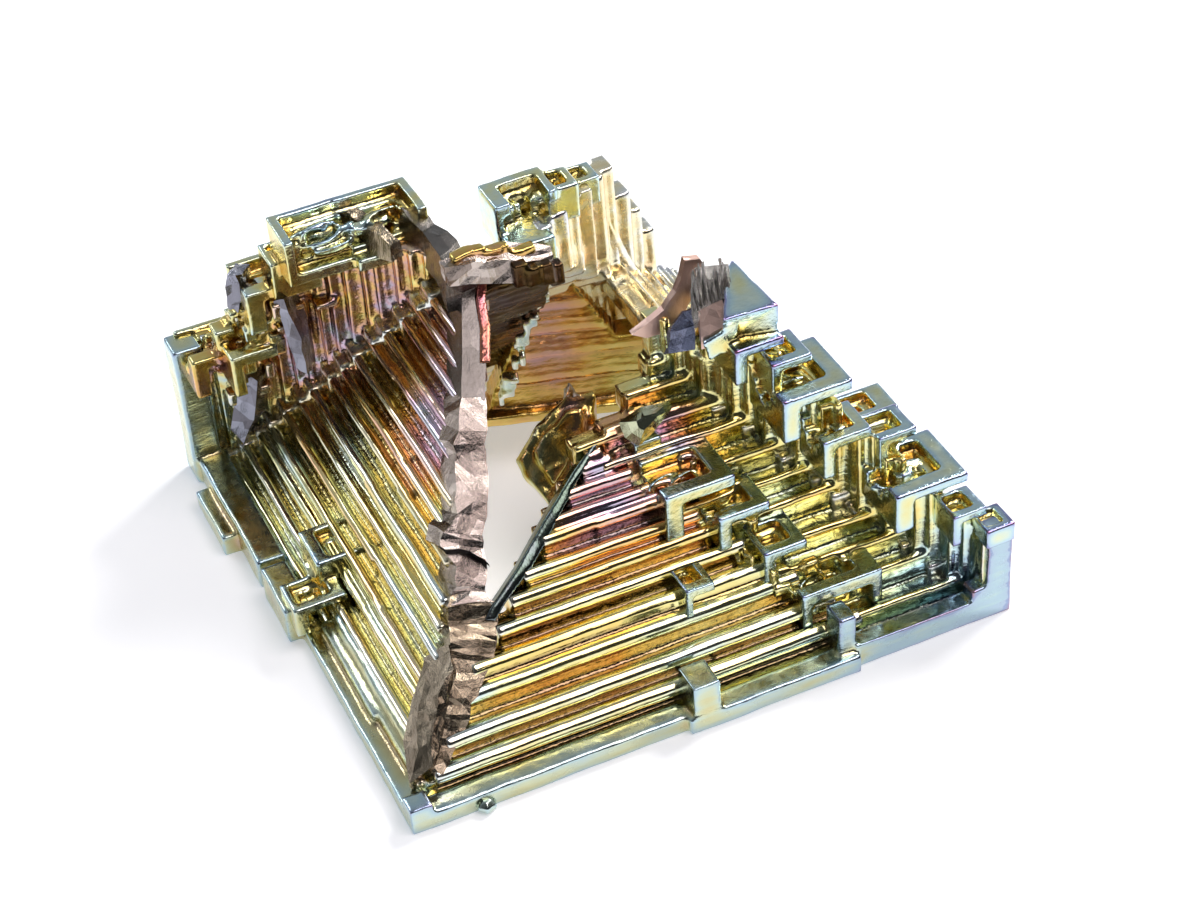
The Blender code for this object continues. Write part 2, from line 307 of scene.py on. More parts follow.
def wobble_tree():
    """Bends the surface a little, as real growth is never quite straight, inside the CAD's box."""
    tree, given, out = new_tree("wobble", "GeometryNodeTree", {
        "Geometry": ("Geometry", None), "Bend": ("Float", 0.16), "Bend Scale": ("Float", 0.22),
        "Grain": ("Float", 0.05), "Grain Scale": ("Float", 0.9),
        "Low": ("Vector", (-1.9, -0.7, 0.0)), "High": ("Vector", (40.3, 38.9, 22.6)),
    }, {"Geometry": "Geometry"})
    place = Field(tree, add(tree, "GeometryNodeInputPosition").outputs[0])

    def shift(amount, scale):
        found = add(tree, "ShaderNodeTexNoise", {"Vector": place, "Scale": scale, "Detail": 1.0})
        node = add(tree, "ShaderNodeVectorMath", {
            0: found.outputs["Color"], 1: (0.5, 0.5, 0.5),
        }, operation="SUBTRACT")
        return Field(tree, node.outputs[0]).scaled(amount)

    moved = place + (shift(given["Bend"], given["Bend Scale"]) + shift(given["Grain"], given["Grain Scale"]))
    moved = moved.maths("MAXIMUM", given["Low"]).maths("MINIMUM", given["High"])
    placed = add(tree, "GeometryNodeSetPosition", {"Geometry": given["Geometry"], "Position": moved})
    tree.links.new(placed.outputs[0], out["Geometry"])
    return tree


TERRACES = terrace_tree()
WOBBLE = wobble_tree()


def grow(rough, tree, **values):
    """Puts a node tree on a rough piece and sets its named inputs."""
    modifier = rough.modifiers.new(tree.name, "NODES")
    modifier.node_group = tree
    sockets = {
        item.name.replace(" ", "_"): item.identifier
        for item in tree.interface.items_tree if item.in_out == "INPUT"
    }
    if "Material" in sockets:
        values["Material"] = rough.data.materials[0]
    for name, value in values.items():
        modifier[sockets[name]] = value


def sweep(mesh, rings):
    """A closed body through rings of points, with flat ends."""
    made = [[mesh.verts.new(point) for point in ring] for ring in rings]
    count = len(made[0])
    for low, high in zip(made, made[1:]):
        for n in range(count):
            mesh.faces.new((low[n], low[(n + 1) % count], high[(n + 1) % count], high[n]))
    mesh.faces.new(made[0][::-1])
    mesh.faces.new(made[-1])


def start_piece(name, material, boxes, sweeps=()):
    """A rough piece from boxes, as their (low, high) sides, and from bodies through rings."""
    mesh = bmesh.new()
    for sides in boxes:
        middle = Vector([(low + high) / 2 for low, high in sides])
        size = Matrix.Diagonal((*(high - low for low, high in sides), 1.0))
        bmesh.ops.create_cube(mesh, size=1.0, matrix=Matrix.Translation(middle) @ size)
    for rings in sweeps:
        sweep(mesh, rings)
    bmesh.ops.recalc_face_normals(mesh, faces=mesh.faces)
    data = bpy.data.meshes.new(name + "_rough")
    mesh.to_mesh(data)
    mesh.free()
    data.materials.append(material)
    rough = bpy.data.objects.new(name + "_rough", data)
    shown.link(rough)
    return rough


def melt(rough, voxel=VOXEL, smooth=3, **wobble):
    """Runs the boxes of a rough piece together and rounds them, as metal that grew from a melt."""
    remesh = rough.modifiers.new("remesh", "REMESH")
    remesh.mode = "VOXEL"
    remesh.voxel_size = voxel
    soft = rough.modifiers.new("smooth", "SMOOTH")
    soft.factor = 0.5
    soft.iterations = smooth
    grow(rough, WOBBLE, **wobble)


def relax(values, ends, degree, times):
    """Averages the values of each vertex's neighbours, some times over."""
    for _ in range(times):
        total = np.empty_like(values)
        for axis in range(values.shape[1]):
            column = values[:, axis]
            total[:, axis] = (
                np.bincount(ends[:, 0], column[ends[:, 1]], len(values))
                + np.bincount(ends[:, 1], column[ends[:, 0]], len(values))
            )
        values = total / degree[:, None]
    return values


def read(collection, attribute, width, kind):
    found = np.empty(len(collection) * width, kind)
    collection.foreach_get(attribute, found)
    return found.reshape(-1, width)


def set_in_place(name, data, material, turned=Matrix.Identity(4)):
    """Makes a finished mesh in millimetres a piece of the crystal, in metres."""
    data.transform(Matrix.Scale(MM, 4) @ Matrix.Translation(CORNER) @ turned)
    data.materials.clear()
    data.materials.append(material)
    piece = bpy.data.objects.new(name, data)
    shown.link(piece)
    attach(piece, "root")
    return piece


FINE_TURNS, BROAD_TURNS = 6, 26  # how often the surface is averaged to find its creases and hollows


def finish_piece(rough, turned=Matrix.Identity(4)):
    """Turns a rough piece into a plain mesh that knows how creased and how hollow each place is."""
    name, material = rough.name.removesuffix("_rough"), rough.data.materials[0]
    graph = bpy.context.evaluated_depsgraph_get()
    data = bpy.data.meshes.new_from_object(rough.evaluated_get(graph))
    bpy.data.objects.remove(rough)
    data.name = name
    points = read(data.vertices, "co", 3, np.float32).astype(float)
    normals = read(data.vertices, "normal", 3, np.float32)
    ends = read(data.edges, "vertices", 2, np.int32)
    degree = np.maximum(np.bincount(ends.ravel(), minlength=len(points)), 1).astype(float)
    fine = relax(points, ends, degree, FINE_TURNS)
    broad = relax(fine, ends, degree, BROAD_TURNS)
    for label, soft in (("crease", fine), ("hollow", broad)):
        attribute = data.attributes.new(label, "FLOAT", "POINT")
        attribute.data.foreach_set("value", ((soft - points) * normals).sum(axis=1).astype(np.float32))
    data.shade_smooth()
    return set_in_place(name, data, material, turned)


def crystal_place(tree):
    """The place on the crystal, in millimetres from its near corner."""
    place = Field(tree, add(tree, "ShaderNodeTexCoord").outputs["Object"])
    return place.scaled(1 / MM) + tuple(-CORNER)


def speckle(tree, place, scale, detail):
    node = add(tree, "ShaderNodeTexNoise", {"Vector": place, "Scale": scale, "Detail": detail})
    return Field(tree, node.outputs["Fac"])


def ramp_up(tree, value, start, stop, low, high, kind="SMOOTHSTEP"):
    """Goes from low to high while the value goes from start to stop."""
    node = add(tree, "ShaderNodeMapRange", {
        "Value": value, "From Min": start, "From Max": stop, "To Min": low, "To Max": high,
    }, interpolation_type=kind)
    return Field(tree, node.outputs[0])


def mix(tree, share, first, second):
    return add(tree, "ShaderNodeMix", {0: share, 6: first, 7: second}, data_type="RGBA").outputs[2]


def zone_tree():
    """Thicker or thinner film around one place of the crystal."""
    tree, given, out = new_tree("film_zone", "ShaderNodeTree", {
        "Thickness": ("Float", 0.6), "Centre": ("Vector", (0.0, 0.0, 0.0)), "Radius": ("Float", 5.0),
        "Change": ("Float", 0.0),
    }, {"Thickness": "Float"})
    away = crystal_place(tree).maths("DISTANCE", given["Centre"])
    near = ramp_up(tree, away, given["Radius"] * 0.25, given["Radius"], given["Change"], 0.0)
    tree.links.new((near + given["Thickness"]).socket, out["Thickness"])
    return tree


def film_tree():
    """The oxide film: its colour, how rough it is and its fine ripples."""
    tree, given, out = new_tree("oxide_film", "ShaderNodeTree", {
        "Thickness": ("Float", 0.6), "Hollow Gain": ("Float", 0.16), "Crease Gain": ("Float", 0.25),
        "Stripe": ("Float", 0.16), "Swirl": ("Float", 0.14), "Stretch": ("Vector", (1.0, 1.0, 1.0)),
        "Top Change": ("Float", 0.0), "Veil": ("Float", 0.06), "Deep": ("Float", 0.6),
        "Reach": ("Float", 0.42),
        "Pit": ("Color", (0.16, 0.105, 0.035, 1.0)), "Crest": ("Color", (0.82, 0.72, 0.68, 1.0)),
        "Worn": ("Float", 0.0), "Roughness": ("Float", 0.16), "Ripples": ("Float", 0.4),
    }, {"Color": "Color", "Roughness": "Float", "Height": "Float"})
    place = crystal_place(tree)
    drawn = place * given["Stretch"]
    hollow, crease = (
        Field(tree, add(tree, "ShaderNodeAttribute", attribute_name=name).outputs["Fac"])
        for name in ("hollow", "crease")
    )
    facing = add(tree, "ShaderNodeSeparateXYZ", {0: add(tree, "ShaderNodeTexCoord").outputs["Normal"]})
    upward = Field(tree, facing.outputs["Z"]).maths("MAXIMUM", 0.0)
    thickness = given["Thickness"] + upward * given["Top Change"]
    thickness = thickness + hollow * given["Hollow Gain"] + crease * given["Crease Gain"]
    thickness = thickness + (speckle(tree, place, 0.22, 2.0) - 0.5) * 2.0 * given["Swirl"]
    thickness = thickness + (speckle(tree, drawn, 0.8, 2.0) - 0.5) * 2.0 * given["Stripe"]
    # The film's colour by its thickness, in the order that light gives it. The lilac at 0.34 has to
    # stand after the blue at 0.38, since the ramp gives other colours when the two change places.
    stops = (
        (0.00, (0.60, 0.57, 0.54)), (0.08, (0.76, 0.64, 0.36)), (0.16, (0.62, 0.33, 0.12)),
        (0.24, (0.58, 0.15, 0.20)), (0.31, (0.34, 0.24, 0.50)), (0.38, (0.26, 0.42, 0.70)),
        (0.34, (0.52, 0.52, 0.76)), (0.44, (0.44, 0.68, 0.80)), (0.50, (0.66, 0.80, 0.76)),
        (0.56, (0.76, 0.79, 0.46)), (0.62, (0.82, 0.72, 0.28)), (0.69, (0.78, 0.54, 0.14)),
        (0.75, (0.80, 0.45, 0.20)), (0.81, (0.66, 0.38, 0.30)), (0.87, (0.60, 0.38, 0.50)),
        (0.93, (0.50, 0.50, 0.68)), (1.00, (0.46, 0.55, 0.40)),
    )
    film = add(tree, "ShaderNodeValToRGB", {0: thickness})
    film.color_ramp.interpolation = "B_SPLINE"
    while len(film.color_ramp.elements) < len(stops):
        film.color_ramp.elements.new(0.5)
    for element, (position, colour) in zip(film.color_ramp.elements, stops):
        element.position = position
    for element, (position, colour) in zip(film.color_ramp.elements, stops):
        element.color = (*colour, 1.0)
    # Grooves are mixed towards a second colour, the more the deeper they are, over an even share of it
    # everywhere; where that colour is dark, as on most pieces, this is painted shade. Crests of the ridges
    # are mixed towards a paler crest colour, a painted highlight.
    groove_tone_and_shade = ramp_up(tree, hollow, -0.02, given["Reach"], given["Veil"], given["Deep"])
    crest_highlight_share = ramp_up(tree, hollow, -0.10, -0.26, 0.0, given["Worn"])
    toned_and_shaded_film = mix(tree, groove_tone_and_shade, film.outputs["Color"], given["Pit"])
    tree.links.new(mix(tree, crest_highlight_share, toned_and_shaded_film, given["Crest"]), out["Color"])
    patches = ramp_up(tree, speckle(tree, place, 1.3, 3.0), 0.3, 0.75, 0.6, 1.7, "LINEAR")
    tree.links.new((patches * given["Roughness"]).socket, out["Roughness"])
    ripple = speckle(tree, drawn, 3.2, 4.0) * given["Ripples"] * 2.5
    grit = hollow.maths("MAXIMUM", 0.0) * speckle(tree, place, 2.6, 3.0)
    tree.links.new((ripple + grit * 9.0).socket, out["Height"])
    return tree


FILM_ZONE = zone_tree()
OXIDE_FILM = film_tree()
RIPPLE_HEIGHT, RIPPLE_STRENGTH = 0.08 * MM, 0.4


def metal(name, tree, values, strength, height):
    """Bare metal whose colour and fine relief come from a node group."""
    material = bpy.data.materials.new(name)
    material.use_nodes = True
    nodes = material.node_tree
    shader = nodes.nodes["Principled BSDF"]
    shader.inputs["Metallic"].default_value = 1.0
    values = {label.replace("_", " "): value for label, value in values.items()}
    surface = add(nodes, "ShaderNodeGroup", values, node_tree=tree)
    bump = add(nodes, "ShaderNodeBump", {
        "Height": surface.outputs["Height"], "Strength": strength, "Distance": height,
    })
    nodes.links.new(surface.outputs["Color"], shader.inputs["Base Color"])
    nodes.links.new(bump.outputs[0], shader.inputs["Normal"])
    return material, surface, shader


def film_material(name, zones=(), **values):
    """Metal under the oxide film; zones are (place in mm, radius, change of thickness)."""
    material, film, shader = metal(name, OXIDE_FILM, values, RIPPLE_STRENGTH, RIPPLE_HEIGHT)
    nodes = material.node_tree
    nodes.links.new(film.outputs["Roughness"], shader.inputs["Roughness"])
    thickness = values["Thickness"]
    for centre, radius, change in zones:
        zone = {"Thickness": thickness, "Centre": centre, "Radius": radius, "Change": change}
        thickness = add(nodes, "ShaderNodeGroup", zone, node_tree=FILM_ZONE).outputs[0]
        nodes.links.new(thickness, film.inputs["Thickness"])
    return material


FRONT_FILM = film_material("oxide_film_front", (
    ((20.5, 11.5, 11.5), 9.0, 0.27),
    ((11.0, 7.0, 7.0), 8.0, 0.05),
), Thickness=0.61, Stretch=(0.07, 1.5, 1.5), Hollow_Gain=0.35, Crease_Gain=0.0, Stripe=0.12, Deep=0.86,
    Veil=0.05, Reach=0.23, Pit=(0.15, 0.11, 0.085), Roughness=0.11, Worn=0.6, Ripples=0.2)
front = start_piece("front_wall", FRONT_FILM, (
    ((0.6, 39.6), (0.7, 2.2), (0.0, 1.0)),
    ((28.4, 29.3), (1.0, 2.2), (0.3, 3.9)),
    ((38.3, 39.8), (0.4, 1.9), (0.0, 6.8)),
))
for steps, base, pitch, start, lip, recess, over, seed in (
    (5, 0.25, 1.36, 0.6, 1.12, 0.36, 0.05, 3),
    (9, 6.3, 1.06, 1.2, 0.86, 0.28, 0.08, 8),
):
    grow(front, TERRACES, Steps=steps, Base=base, Pitch=pitch, Pitch_Fall=0.03, Start=start, Start_Curve=0.03,
         End=32.6, End_Slope=1.15, Bar_Rise=0.2, Lip=lip, Lip_Height=lip / 2, Recess=recess, Step_Over=over,
         Seed=seed)
melt(front, voxel=0.14, Grain=0.03)
front = finish_piece(front)
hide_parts("bismuth_crystal")


# The right fin
# The frames' front corners stand out on the right as thin posts that climb to the back, with low bars
# running up to them. They are one growth with the front wall, yellower and smoother.
def crumb_tree():
    """Small square growths scattered along a line, as where the frames grew unevenly."""
    tree, given, out = new_growth("crumbs", {
        "Count": ("Int", 40), "Start": ("Vector", (0.0, 0.0, 0.0)), "End": ("Vector", (10.0, 0.0, 0.0)),
        "Spread": ("Vector", (1.0, 1.0, 1.0)), "Small": ("Float", 0.5), "Large": ("Float", 1.5),
        "Seed": ("Int", 0),
    })
    index = Field(tree, add(tree, "GeometryNodeInputIndex").outputs[0])
    line = add(tree, "GeometryNodeMeshLine", {"Count": given["Count"], "Offset": (0.0, 0.0, 0.0)})
    cube = add(tree, "GeometryNodeMeshCube", {"Size": (1.0, 1.0, 1.0)}).outputs["Mesh"]
    span = (given["End"] - given["Start"]).scaled(chance(tree, given, index, 0))
    aside = vector(tree, *(chance(tree, given, index, shift, -0.5, 0.5) for shift in (1, 2, 3)))
    small, large = given["Small"], given["Large"]
    size = vector(tree, *(chance(tree, given, index, shift, small, large) for shift in (4, 5, 6)))
    place = given["Start"] + span + aside * given["Spread"]
    return end_growth(tree, given, out, (scatter(tree, line, place, cube, size),))


CRUMBS = crumb_tree()
FIN_FILM = film_material("oxide_film_fin", (
    ((41.0, -1.0, 4.0), 12.0, -0.12),
    ((28.0, 12.0, 20.0), 6.0, 0.05),
    ((21.5, 11.5, 12.0), 5.4, 0.25),
    ((23.0, 5.0, 5.0), 5.0, 0.03),
), Thickness=0.595, Stretch=(0.25, 1.2, 1.2), Hollow_Gain=-0.10, Crease_Gain=-0.30, Stripe=0.12, Deep=0.75,
    Reach=0.36, Pit=(0.14, 0.14, 0.045), Roughness=0.12, Crest=(0.90, 0.80, 0.40), Worn=0.5, Ripples=0.25)
fin = start_piece("right_fin", FIN_FILM, (
    ((30.5, 39.6), (0.5, 2.2), (0.0, 1.0)),
    ((38.3, 39.8), (0.4, 1.9), (0.0, 6.6)),
))
fin_bars = dict(Bar_Rise=0.3, Lip=0.5, Lip_Height=0.3, Recess=0.1, Step_Over=0.05, Post_Width=0.5)
grow(fin, TERRACES, Steps=10, Base=0.5, Pitch=1.36, Start=31.5, Start_Slope=-1.15, Swing=0.12, Phase=2.0,
     Post_Foot=5.2, Post_Slope=1.22, Post_Top=18.6, Seed=5, **fin_bars)
grow(fin, TERRACES, Steps=3, Base=12.9, Pitch=1.1, Start=1.3, Start_Curve=0.03, Swing=0.0, Post_Foot=3.4,
     Post_Slope=1.0, Post_Top=19.2, Seed=6, **fin_bars)
grow(fin, CRUMBS, Count=22, Start=(30.5, 3.2, 2.8), End=(21.0, 12.2, 12.0), Spread=(5.0, 1.2, 1.2), Small=0.4,
     Large=1.3, Seed=31)
melt(fin, voxel=0.16)
finish_piece(fin)


# The small hopper blocks of the right fin
# Where the frames' corners grew fastest they stand as small open blocks: flat grey tops, pale blue
# fronts shaped like a hook, and stepped pits between, with curled frames inside them.
CELLS = 8  # a block is cut out in eighths of its sides
TOP, WIDE_TOP = ("top", (1, 6, 2, 7), 5), ("top", (0, 6, 2, 7), 5)
HOOK = ("front", (2, 8, 0, 6), 5)


def hopper(sides, *pits):
    """The boxes of one block; a pit is (face, (low, high, low, high) across it, depth), in cells."""
    solid = np.ones((CELLS, CELLS, CELLS), bool)
    for face, (a, b, c, d), depth in pits:
        for layer in range(depth):
            shrink = layer // 2
            first = slice(a + shrink if a else 0, b - shrink if b < CELLS else CELLS)
            second = slice(c + shrink if c else 0, d - shrink if d < CELLS else CELLS)
            if face == "top":
                solid[first, second, CELLS - 1 - layer] = False
            else:
                solid[first, layer, second] = False
    found = []
    for j, k in itertools.product(range(CELLS), repeat=2):
        i = 0
        for full, cells in itertools.groupby(solid[:, j, k]):
            end = i + len(list(cells))
            if full:
                found.append([
                    (low + (high - low) / CELLS * a - 0.01, low + (high - low) / CELLS * b + 0.01)
                    for (low, high), (a, b) in zip(sides, ((i, end), (j, j + 1), (k, k + 1)))
                ])
            i = end
    return found


def curls(sides, count, seed, thick=0.5):
    """Rings of curved lips: the frames inside a pit round off like petals."""
    draw = random.Random(seed)
    tilt = Matrix.Rotation(math.radians(48.0), 3, "X")
    upward = Vector((0.0, 0.0, 1.0))
    last = 9
    found = []
    for _ in range(count):
        middle = Vector([low + (high - low) * draw.uniform(0.28, 0.66) for low, high in sides])
        middle.z = sides[2][1] - draw.uniform(1.1, 1.5)
        radius = draw.uniform(0.15, 0.26) * (sides[0][1] - sides[0][0])
        first, turned = draw.uniform(0.0, 6.28), draw.uniform(1.8, 3.4)
        rings = []
        for n in range(last + 1):
            angle = first + turned * n / last
            fat = thick * (0.25 + 0.55 * math.sin(math.pi * n / last))
            outward = Vector((1.5 * math.cos(angle), 0.55 * math.sin(angle), 0.0))
            place = radius * outward
            around = (fat * outward, 1.6 * fat * upward, -fat * outward, -3.0 * fat * upward)
            rings.append([middle + tilt @ (place + shift) for shift in around])
        found.append(rings)
    return found


BLOCK_FILM = film_material("oxide_film_blocks", (
    ((28.0, 10.4, 19.4), 4.2, -0.08),
    ((41.0, -1.0, 5.0), 9.0, -0.07),
    ((21.0, 10.0, 11.0), 6.0, 0.05),
), Thickness=0.62, Hollow_Gain=0.62, Crease_Gain=0.3, Stripe=0.05, Swirl=0.07, Deep=0.8, Veil=0.14,
    Pit=(0.20, 0.14, 0.03), Roughness=0.14, Top_Change=-0.05, Ripples=0.5)
BIG, UPPER, HIGHEST = (
    ((33.2, 38.2), (2.0, 6.9), (7.6, 10.5)), ((30.4, 33.7), (5.9, 9.0), (10.1, 13.0)),
    ((28.3, 33.0), (6.9, 11.9), (13.1, 16.3)),
)
VALLEY_TOP, VALLEY_MIDDLE, VALLEY_FOOT = (
    ((20.6, 25.3), (7.6, 11.8), (8.0, 11.5)), ((23.5, 27.0), (6.4, 9.6), (6.9, 9.5)),
    ((27.0, 32.5), (2.4, 6.2), (2.2, 4.8)),
)
blocks = start_piece("fin_blocks", BLOCK_FILM, (
    *hopper(((38.3, 40.3), (-0.1, 2.1), (5.8, 7.2)), TOP),
    *hopper(((36.6, 38.9), (1.0, 3.4), (5.9, 8.2)), TOP, HOOK),
    *hopper(BIG, WIDE_TOP, HOOK),
    *hopper(((33.9, 36.5), (5.3, 8.0), (9.9, 12.4)), WIDE_TOP, HOOK),
    *hopper(UPPER, WIDE_TOP, HOOK),
    *hopper(HIGHEST, WIDE_TOP, HOOK),
    *hopper(((28.6, 31.3), (8.9, 11.8), (15.0, 17.6)), TOP, HOOK),
    *hopper(((26.6, 29.9), (9.8, 12.9), (16.2, 18.8)), HOOK),
    *hopper(((34.2, 39.2), (12.2, 15.0), (5.4, 8.1)), TOP),
    *hopper(VALLEY_TOP, WIDE_TOP, HOOK),
    *hopper(VALLEY_MIDDLE, WIDE_TOP, HOOK),
    *hopper(((25.6, 28.5), (4.6, 7.6), (4.7, 7.2)), TOP, HOOK),
    *hopper(VALLEY_FOOT, WIDE_TOP, ("front", (1, 7, 0, 5), 4)),
    *hopper(((20.1, 22.0), (4.3, 7.2), (4.3, 6.8)), TOP, HOOK),
    ((20.6, 22.4), (11.8, 13.4), (10.6, 12.6)),
), (
    *curls(BIG, 4, 1),
    *curls(UPPER, 3, 2),
    *curls(HIGHEST, 4, 3),
    *curls(VALLEY_TOP, 4, 4),
    *curls(VALLEY_MIDDLE, 3, 5),
    *curls(VALLEY_FOOT, 4, 6),
    [[(25.1, 10.9, 18.9), (27.2, 10.7, 18.9), (27.2, 11.8, 18.6), (25.6, 11.8, 18.6)],
     [(25.0, 10.9, 19.3), (27.2, 10.6, 20.2), (27.2, 11.8, 20.0), (25.2, 11.8, 19.2)]],
    [[(25.4, 10.9, 17.8), (26.9, 10.7, 18.4), (26.9, 11.6, 18.4), (25.6, 11.6, 17.8)],
     [(25.1, 10.9, 19.1), (27.1, 10.7, 19.1), (27.1, 11.6, 19.1), (25.3, 11.6, 19.1)]],
    [[(26.4, 11.2, 18.7), (29.8, 10.3, 18.7), (29.6, 15.2, 18.7), (28.2, 14.2, 18.7)],
     [(26.2, 10.5, 20.9), (29.8, 10.2, 20.9), (29.5, 15.8, 20.9), (28.6, 15.0, 20.9)]],
))
grow(blocks, CRUMBS, Count=26, Start=(36.5, 4.4, 8.8), End=(29.5, 11.4, 14.8), Spread=(2.4, 2.0, 0.8),
     Small=0.3, Large=0.9, Seed=32)
melt(blocks, voxel=0.13, smooth=2, Bend=0.14, Grain=0.03)
finish_piece(blocks)


# The rim
# The first and largest frame, which the crystal stands on. Its outer face grew flat against the pot
# and is nearly plain, pale blue and grey, with a few stretches that stand proud, and a drip below.
RIM_FILM = film_material("oxide_film_rim", (
    ((42.0, 0.0, 4.0), 18.0, -0.16),
    ((1.5, 0.0, 2.6), 2.4, -0.10),
    ((-1.0, 26.0, 2.0), 12.0, 0.03),
), Thickness=0.595, Hollow_Gain=0.55, Crease_Gain=0.2, Stripe=0.09, Swirl=0.06, Veil=0.42,
    Stretch=(0.3, 0.3, 2.0), Roughness=0.2, Pit=(0.30, 0.37, 0.37))
SIDEWAYS = dict(Along=(0.0, 1.0, 0.0), Inward=(1.0, 0.0, 0.0), Turn=(math.pi / 2, 0.0, 0.0))
rim = start_piece("base_rim", RIM_FILM, (
    ((0.0, 17.9), (0.0, 1.5), (0.0, 1.25)),
    ((17.8, 29.5), (-0.45, 1.1), (0.0, 1.25)),
    ((29.4, 40.2), (0.0, 1.3), (0.0, 1.7)),
    ((38.5, 40.2), (0.0, 1.5), (0.0, 6.9)),
    ((37.4, 38.7), (0.0, 1.2), (1.5, 2.6)),
    ((0.0, 1.4), (0.0, 1.4), (0.0, 1.9)),
    ((28.3, 29.5), (0.2, 2.0), (0.3, 4.0)),
    ((18.2, 20.0), (-0.35, 1.9), (0.2, 3.5)),
    ((0.0, 1.3), (0.0, 38.6), (0.0, 1.2)),
    ((-0.8, 1.2), (24.6, 38.4), (0.0, 2.1)),
    ((-1.9, 0.4), (28.7, 34.2), (0.0, 1.5)),
    ((-0.9, 0.9), (18.9, 23.6), (0.0, 2.6)),
    ((-1.1, 0.9), (36.6, 38.9), (0.0, 11.0)),
    ((38.7, 40.0), (1.0, 38.6), (0.0, 1.3)),
    ((0.0, 40.0), (37.1, 38.6), (0.0, 1.3)),
))
grow(rim, TERRACES, Steps=2, Base=1.0, Pitch=0.5, Swing=0.14, Phase=0.3, Start=2.6, Start_Slope=0.8, End=18.4,
     End_Slope=0.8, Lip=1.0, Lip_Height=0.5, Facet=7.5, Seed=23, **SIDEWAYS)
melt(rim, voxel=0.14, Bend=0.2, Grain=0.04)
finish_piece(rim)

NUB_PLACE = (4.6, -0.1)
nub = start_piece("nub", RIM_FILM, (), ([
    [
        (NUB_PLACE[0] + radius * math.cos(angle), NUB_PLACE[1] + 0.9 * radius * math.sin(angle), z)
        for angle in (0.2, 1.3, 2.4, 3.4, 4.5, 5.6)
    ]
    for radius, z in ((0.3, 0.0), (0.66, 0.2), (0.66, 0.5), (0.3, 0.8))
],))
melt(nub, voxel=0.1, smooth=1, Grain=0.1)
finish_piece(nub)


# The edge along the gap
# The front wall ends at the gap in one narrow face, where its bars were cut through. It is smooth, with the
# thickest film veiled almost wholly in near-black, and follows the ends of the bars with small waves.
EDGE_FILM = film_material("oxide_film_edge", Thickness=0.99, Stripe=0.1, Swirl=0.03, Stretch=(2.0, 0.6, 0.6),
                          Veil=0.82, Pit=(0.05, 0.09, 0.068), Roughness=0.12, Ripples=0.15)
edge_sides = (
    ((8.3, 7.2, 7.5), (8.9, 7.0, 7.3)), ((8.9, 7.6, 7.95), (9.9, 7.6, 7.9)),
    ((10.1, 8.2, 8.55), (11.0, 8.1, 8.4)), ((11.3, 8.8, 9.15), (12.2, 8.6, 8.95)),
    ((12.6, 9.6, 9.9), (13.6, 9.5, 9.8)), ((13.9, 10.4, 10.75), (15.0, 10.4, 10.8)),
    ((15.3, 11.2, 11.55), (16.4, 11.3, 11.65)), ((16.7, 12.0, 12.3), (17.6, 12.0, 12.4)),
    ((18.1, 12.6, 13.0), (18.8, 12.7, 13.1)),
)
edge_behind = Vector((0.1, 1.0, -0.7))
gap_edge = start_piece("gap_edge", EDGE_FILM, (), ([
    [Vector(a), Vector(b), Vector(b) + edge_behind, Vector(a) + edge_behind] for a, b in edge_sides
],))
melt(gap_edge, voxel=0.12, smooth=4, Grain=0.02)
finish_piece(gap_edge)


# The right wall
# The frames' right sides, which step in from the rim as the front does. It faces away from the camera,
# so that its bars are made as plainly as those of the back.
BACK_FILM = film_material("oxide_film_back", (
    ((31.0, 33.0, 14.0), 8.0, -0.03),
    ((20.6, 27.0, 21.0), 3.6, -0.08),
    ((25.5, 28.6, 18.6), 3.6, 0.08),
), Thickness=0.60, Stretch=(0.4, 1.4, 1.4), Veil=0.46, Pit=(0.90, 0.72, 0.62), Roughness=0.22, Ripples=0.2)
right_wall = start_piece("right_wall", BACK_FILM, (((38.3, 39.7), (0.6, 38.3), (0.0, 1.2)),))
grow(right_wall, TERRACES, Base=0.3, Pitch=1.05, Swing=0.18, Phase=1.2, Start=0.6, End=38.4, End_Slope=0.66,
     Origin=(40.0, 0.0, 0.0), Seed=9, **{**SIDEWAYS, "Inward": (-1.0, 0.0, 0.0)})
melt(right_wall)
finish_piece(right_wall)


# The back wall and the far fin
# The frames' backs, pale gold with rosy grooves, and the tall posts of the far corner. Small hopper
# blocks grew on the outside and at the top, and thin ridges run down the inner face of the corner.
BACK_LINE = dict(Lean=0.66, Phase=0.4, Origin=(0.0, 38.6, 0.0), Inward=(0.0, -1.0, 0.0))
back_wall = start_piece("back_wall", BACK_FILM, (
    ((0.0, 40.0), (36.9, 38.6), (0.0, 1.3)),
    *hopper(((26.6, 30.0), (33.6, 37.0), (3.4, 6.0)), TOP),
    *hopper(((28.8, 31.4), (35.6, 38.4), (1.6, 3.8)), WIDE_TOP),
    *hopper(((8.2, 11.4), (31.4, 34.6), (6.6, 9.2)), TOP),
    *hopper(((15.6, 18.2), (35.4, 38.0), (2.0, 4.0)), TOP),
))
grow(back_wall, CRUMBS, Count=26, Start=(33.0, 37.6, 1.2), End=(9.0, 33.6, 8.4), Spread=(4.0, 1.0, 1.2),
     Small=0.4, Large=1.4, Seed=44)
grow(back_wall, TERRACES, Steps=17, Base=0.3, Pitch=1.1, Start_Slope=0.8, Seed=12, **BACK_LINE)
grow(back_wall, TERRACES, Steps=9, Base=8.6, Start=38.0, Post_Width=0.9, Post_Foot=-4.6, Post_Slope=3.1,
     Post_Top=20.6, Seed=14, **BACK_LINE)
melt(back_wall, voxel=0.2)
finish_piece(back_wall)

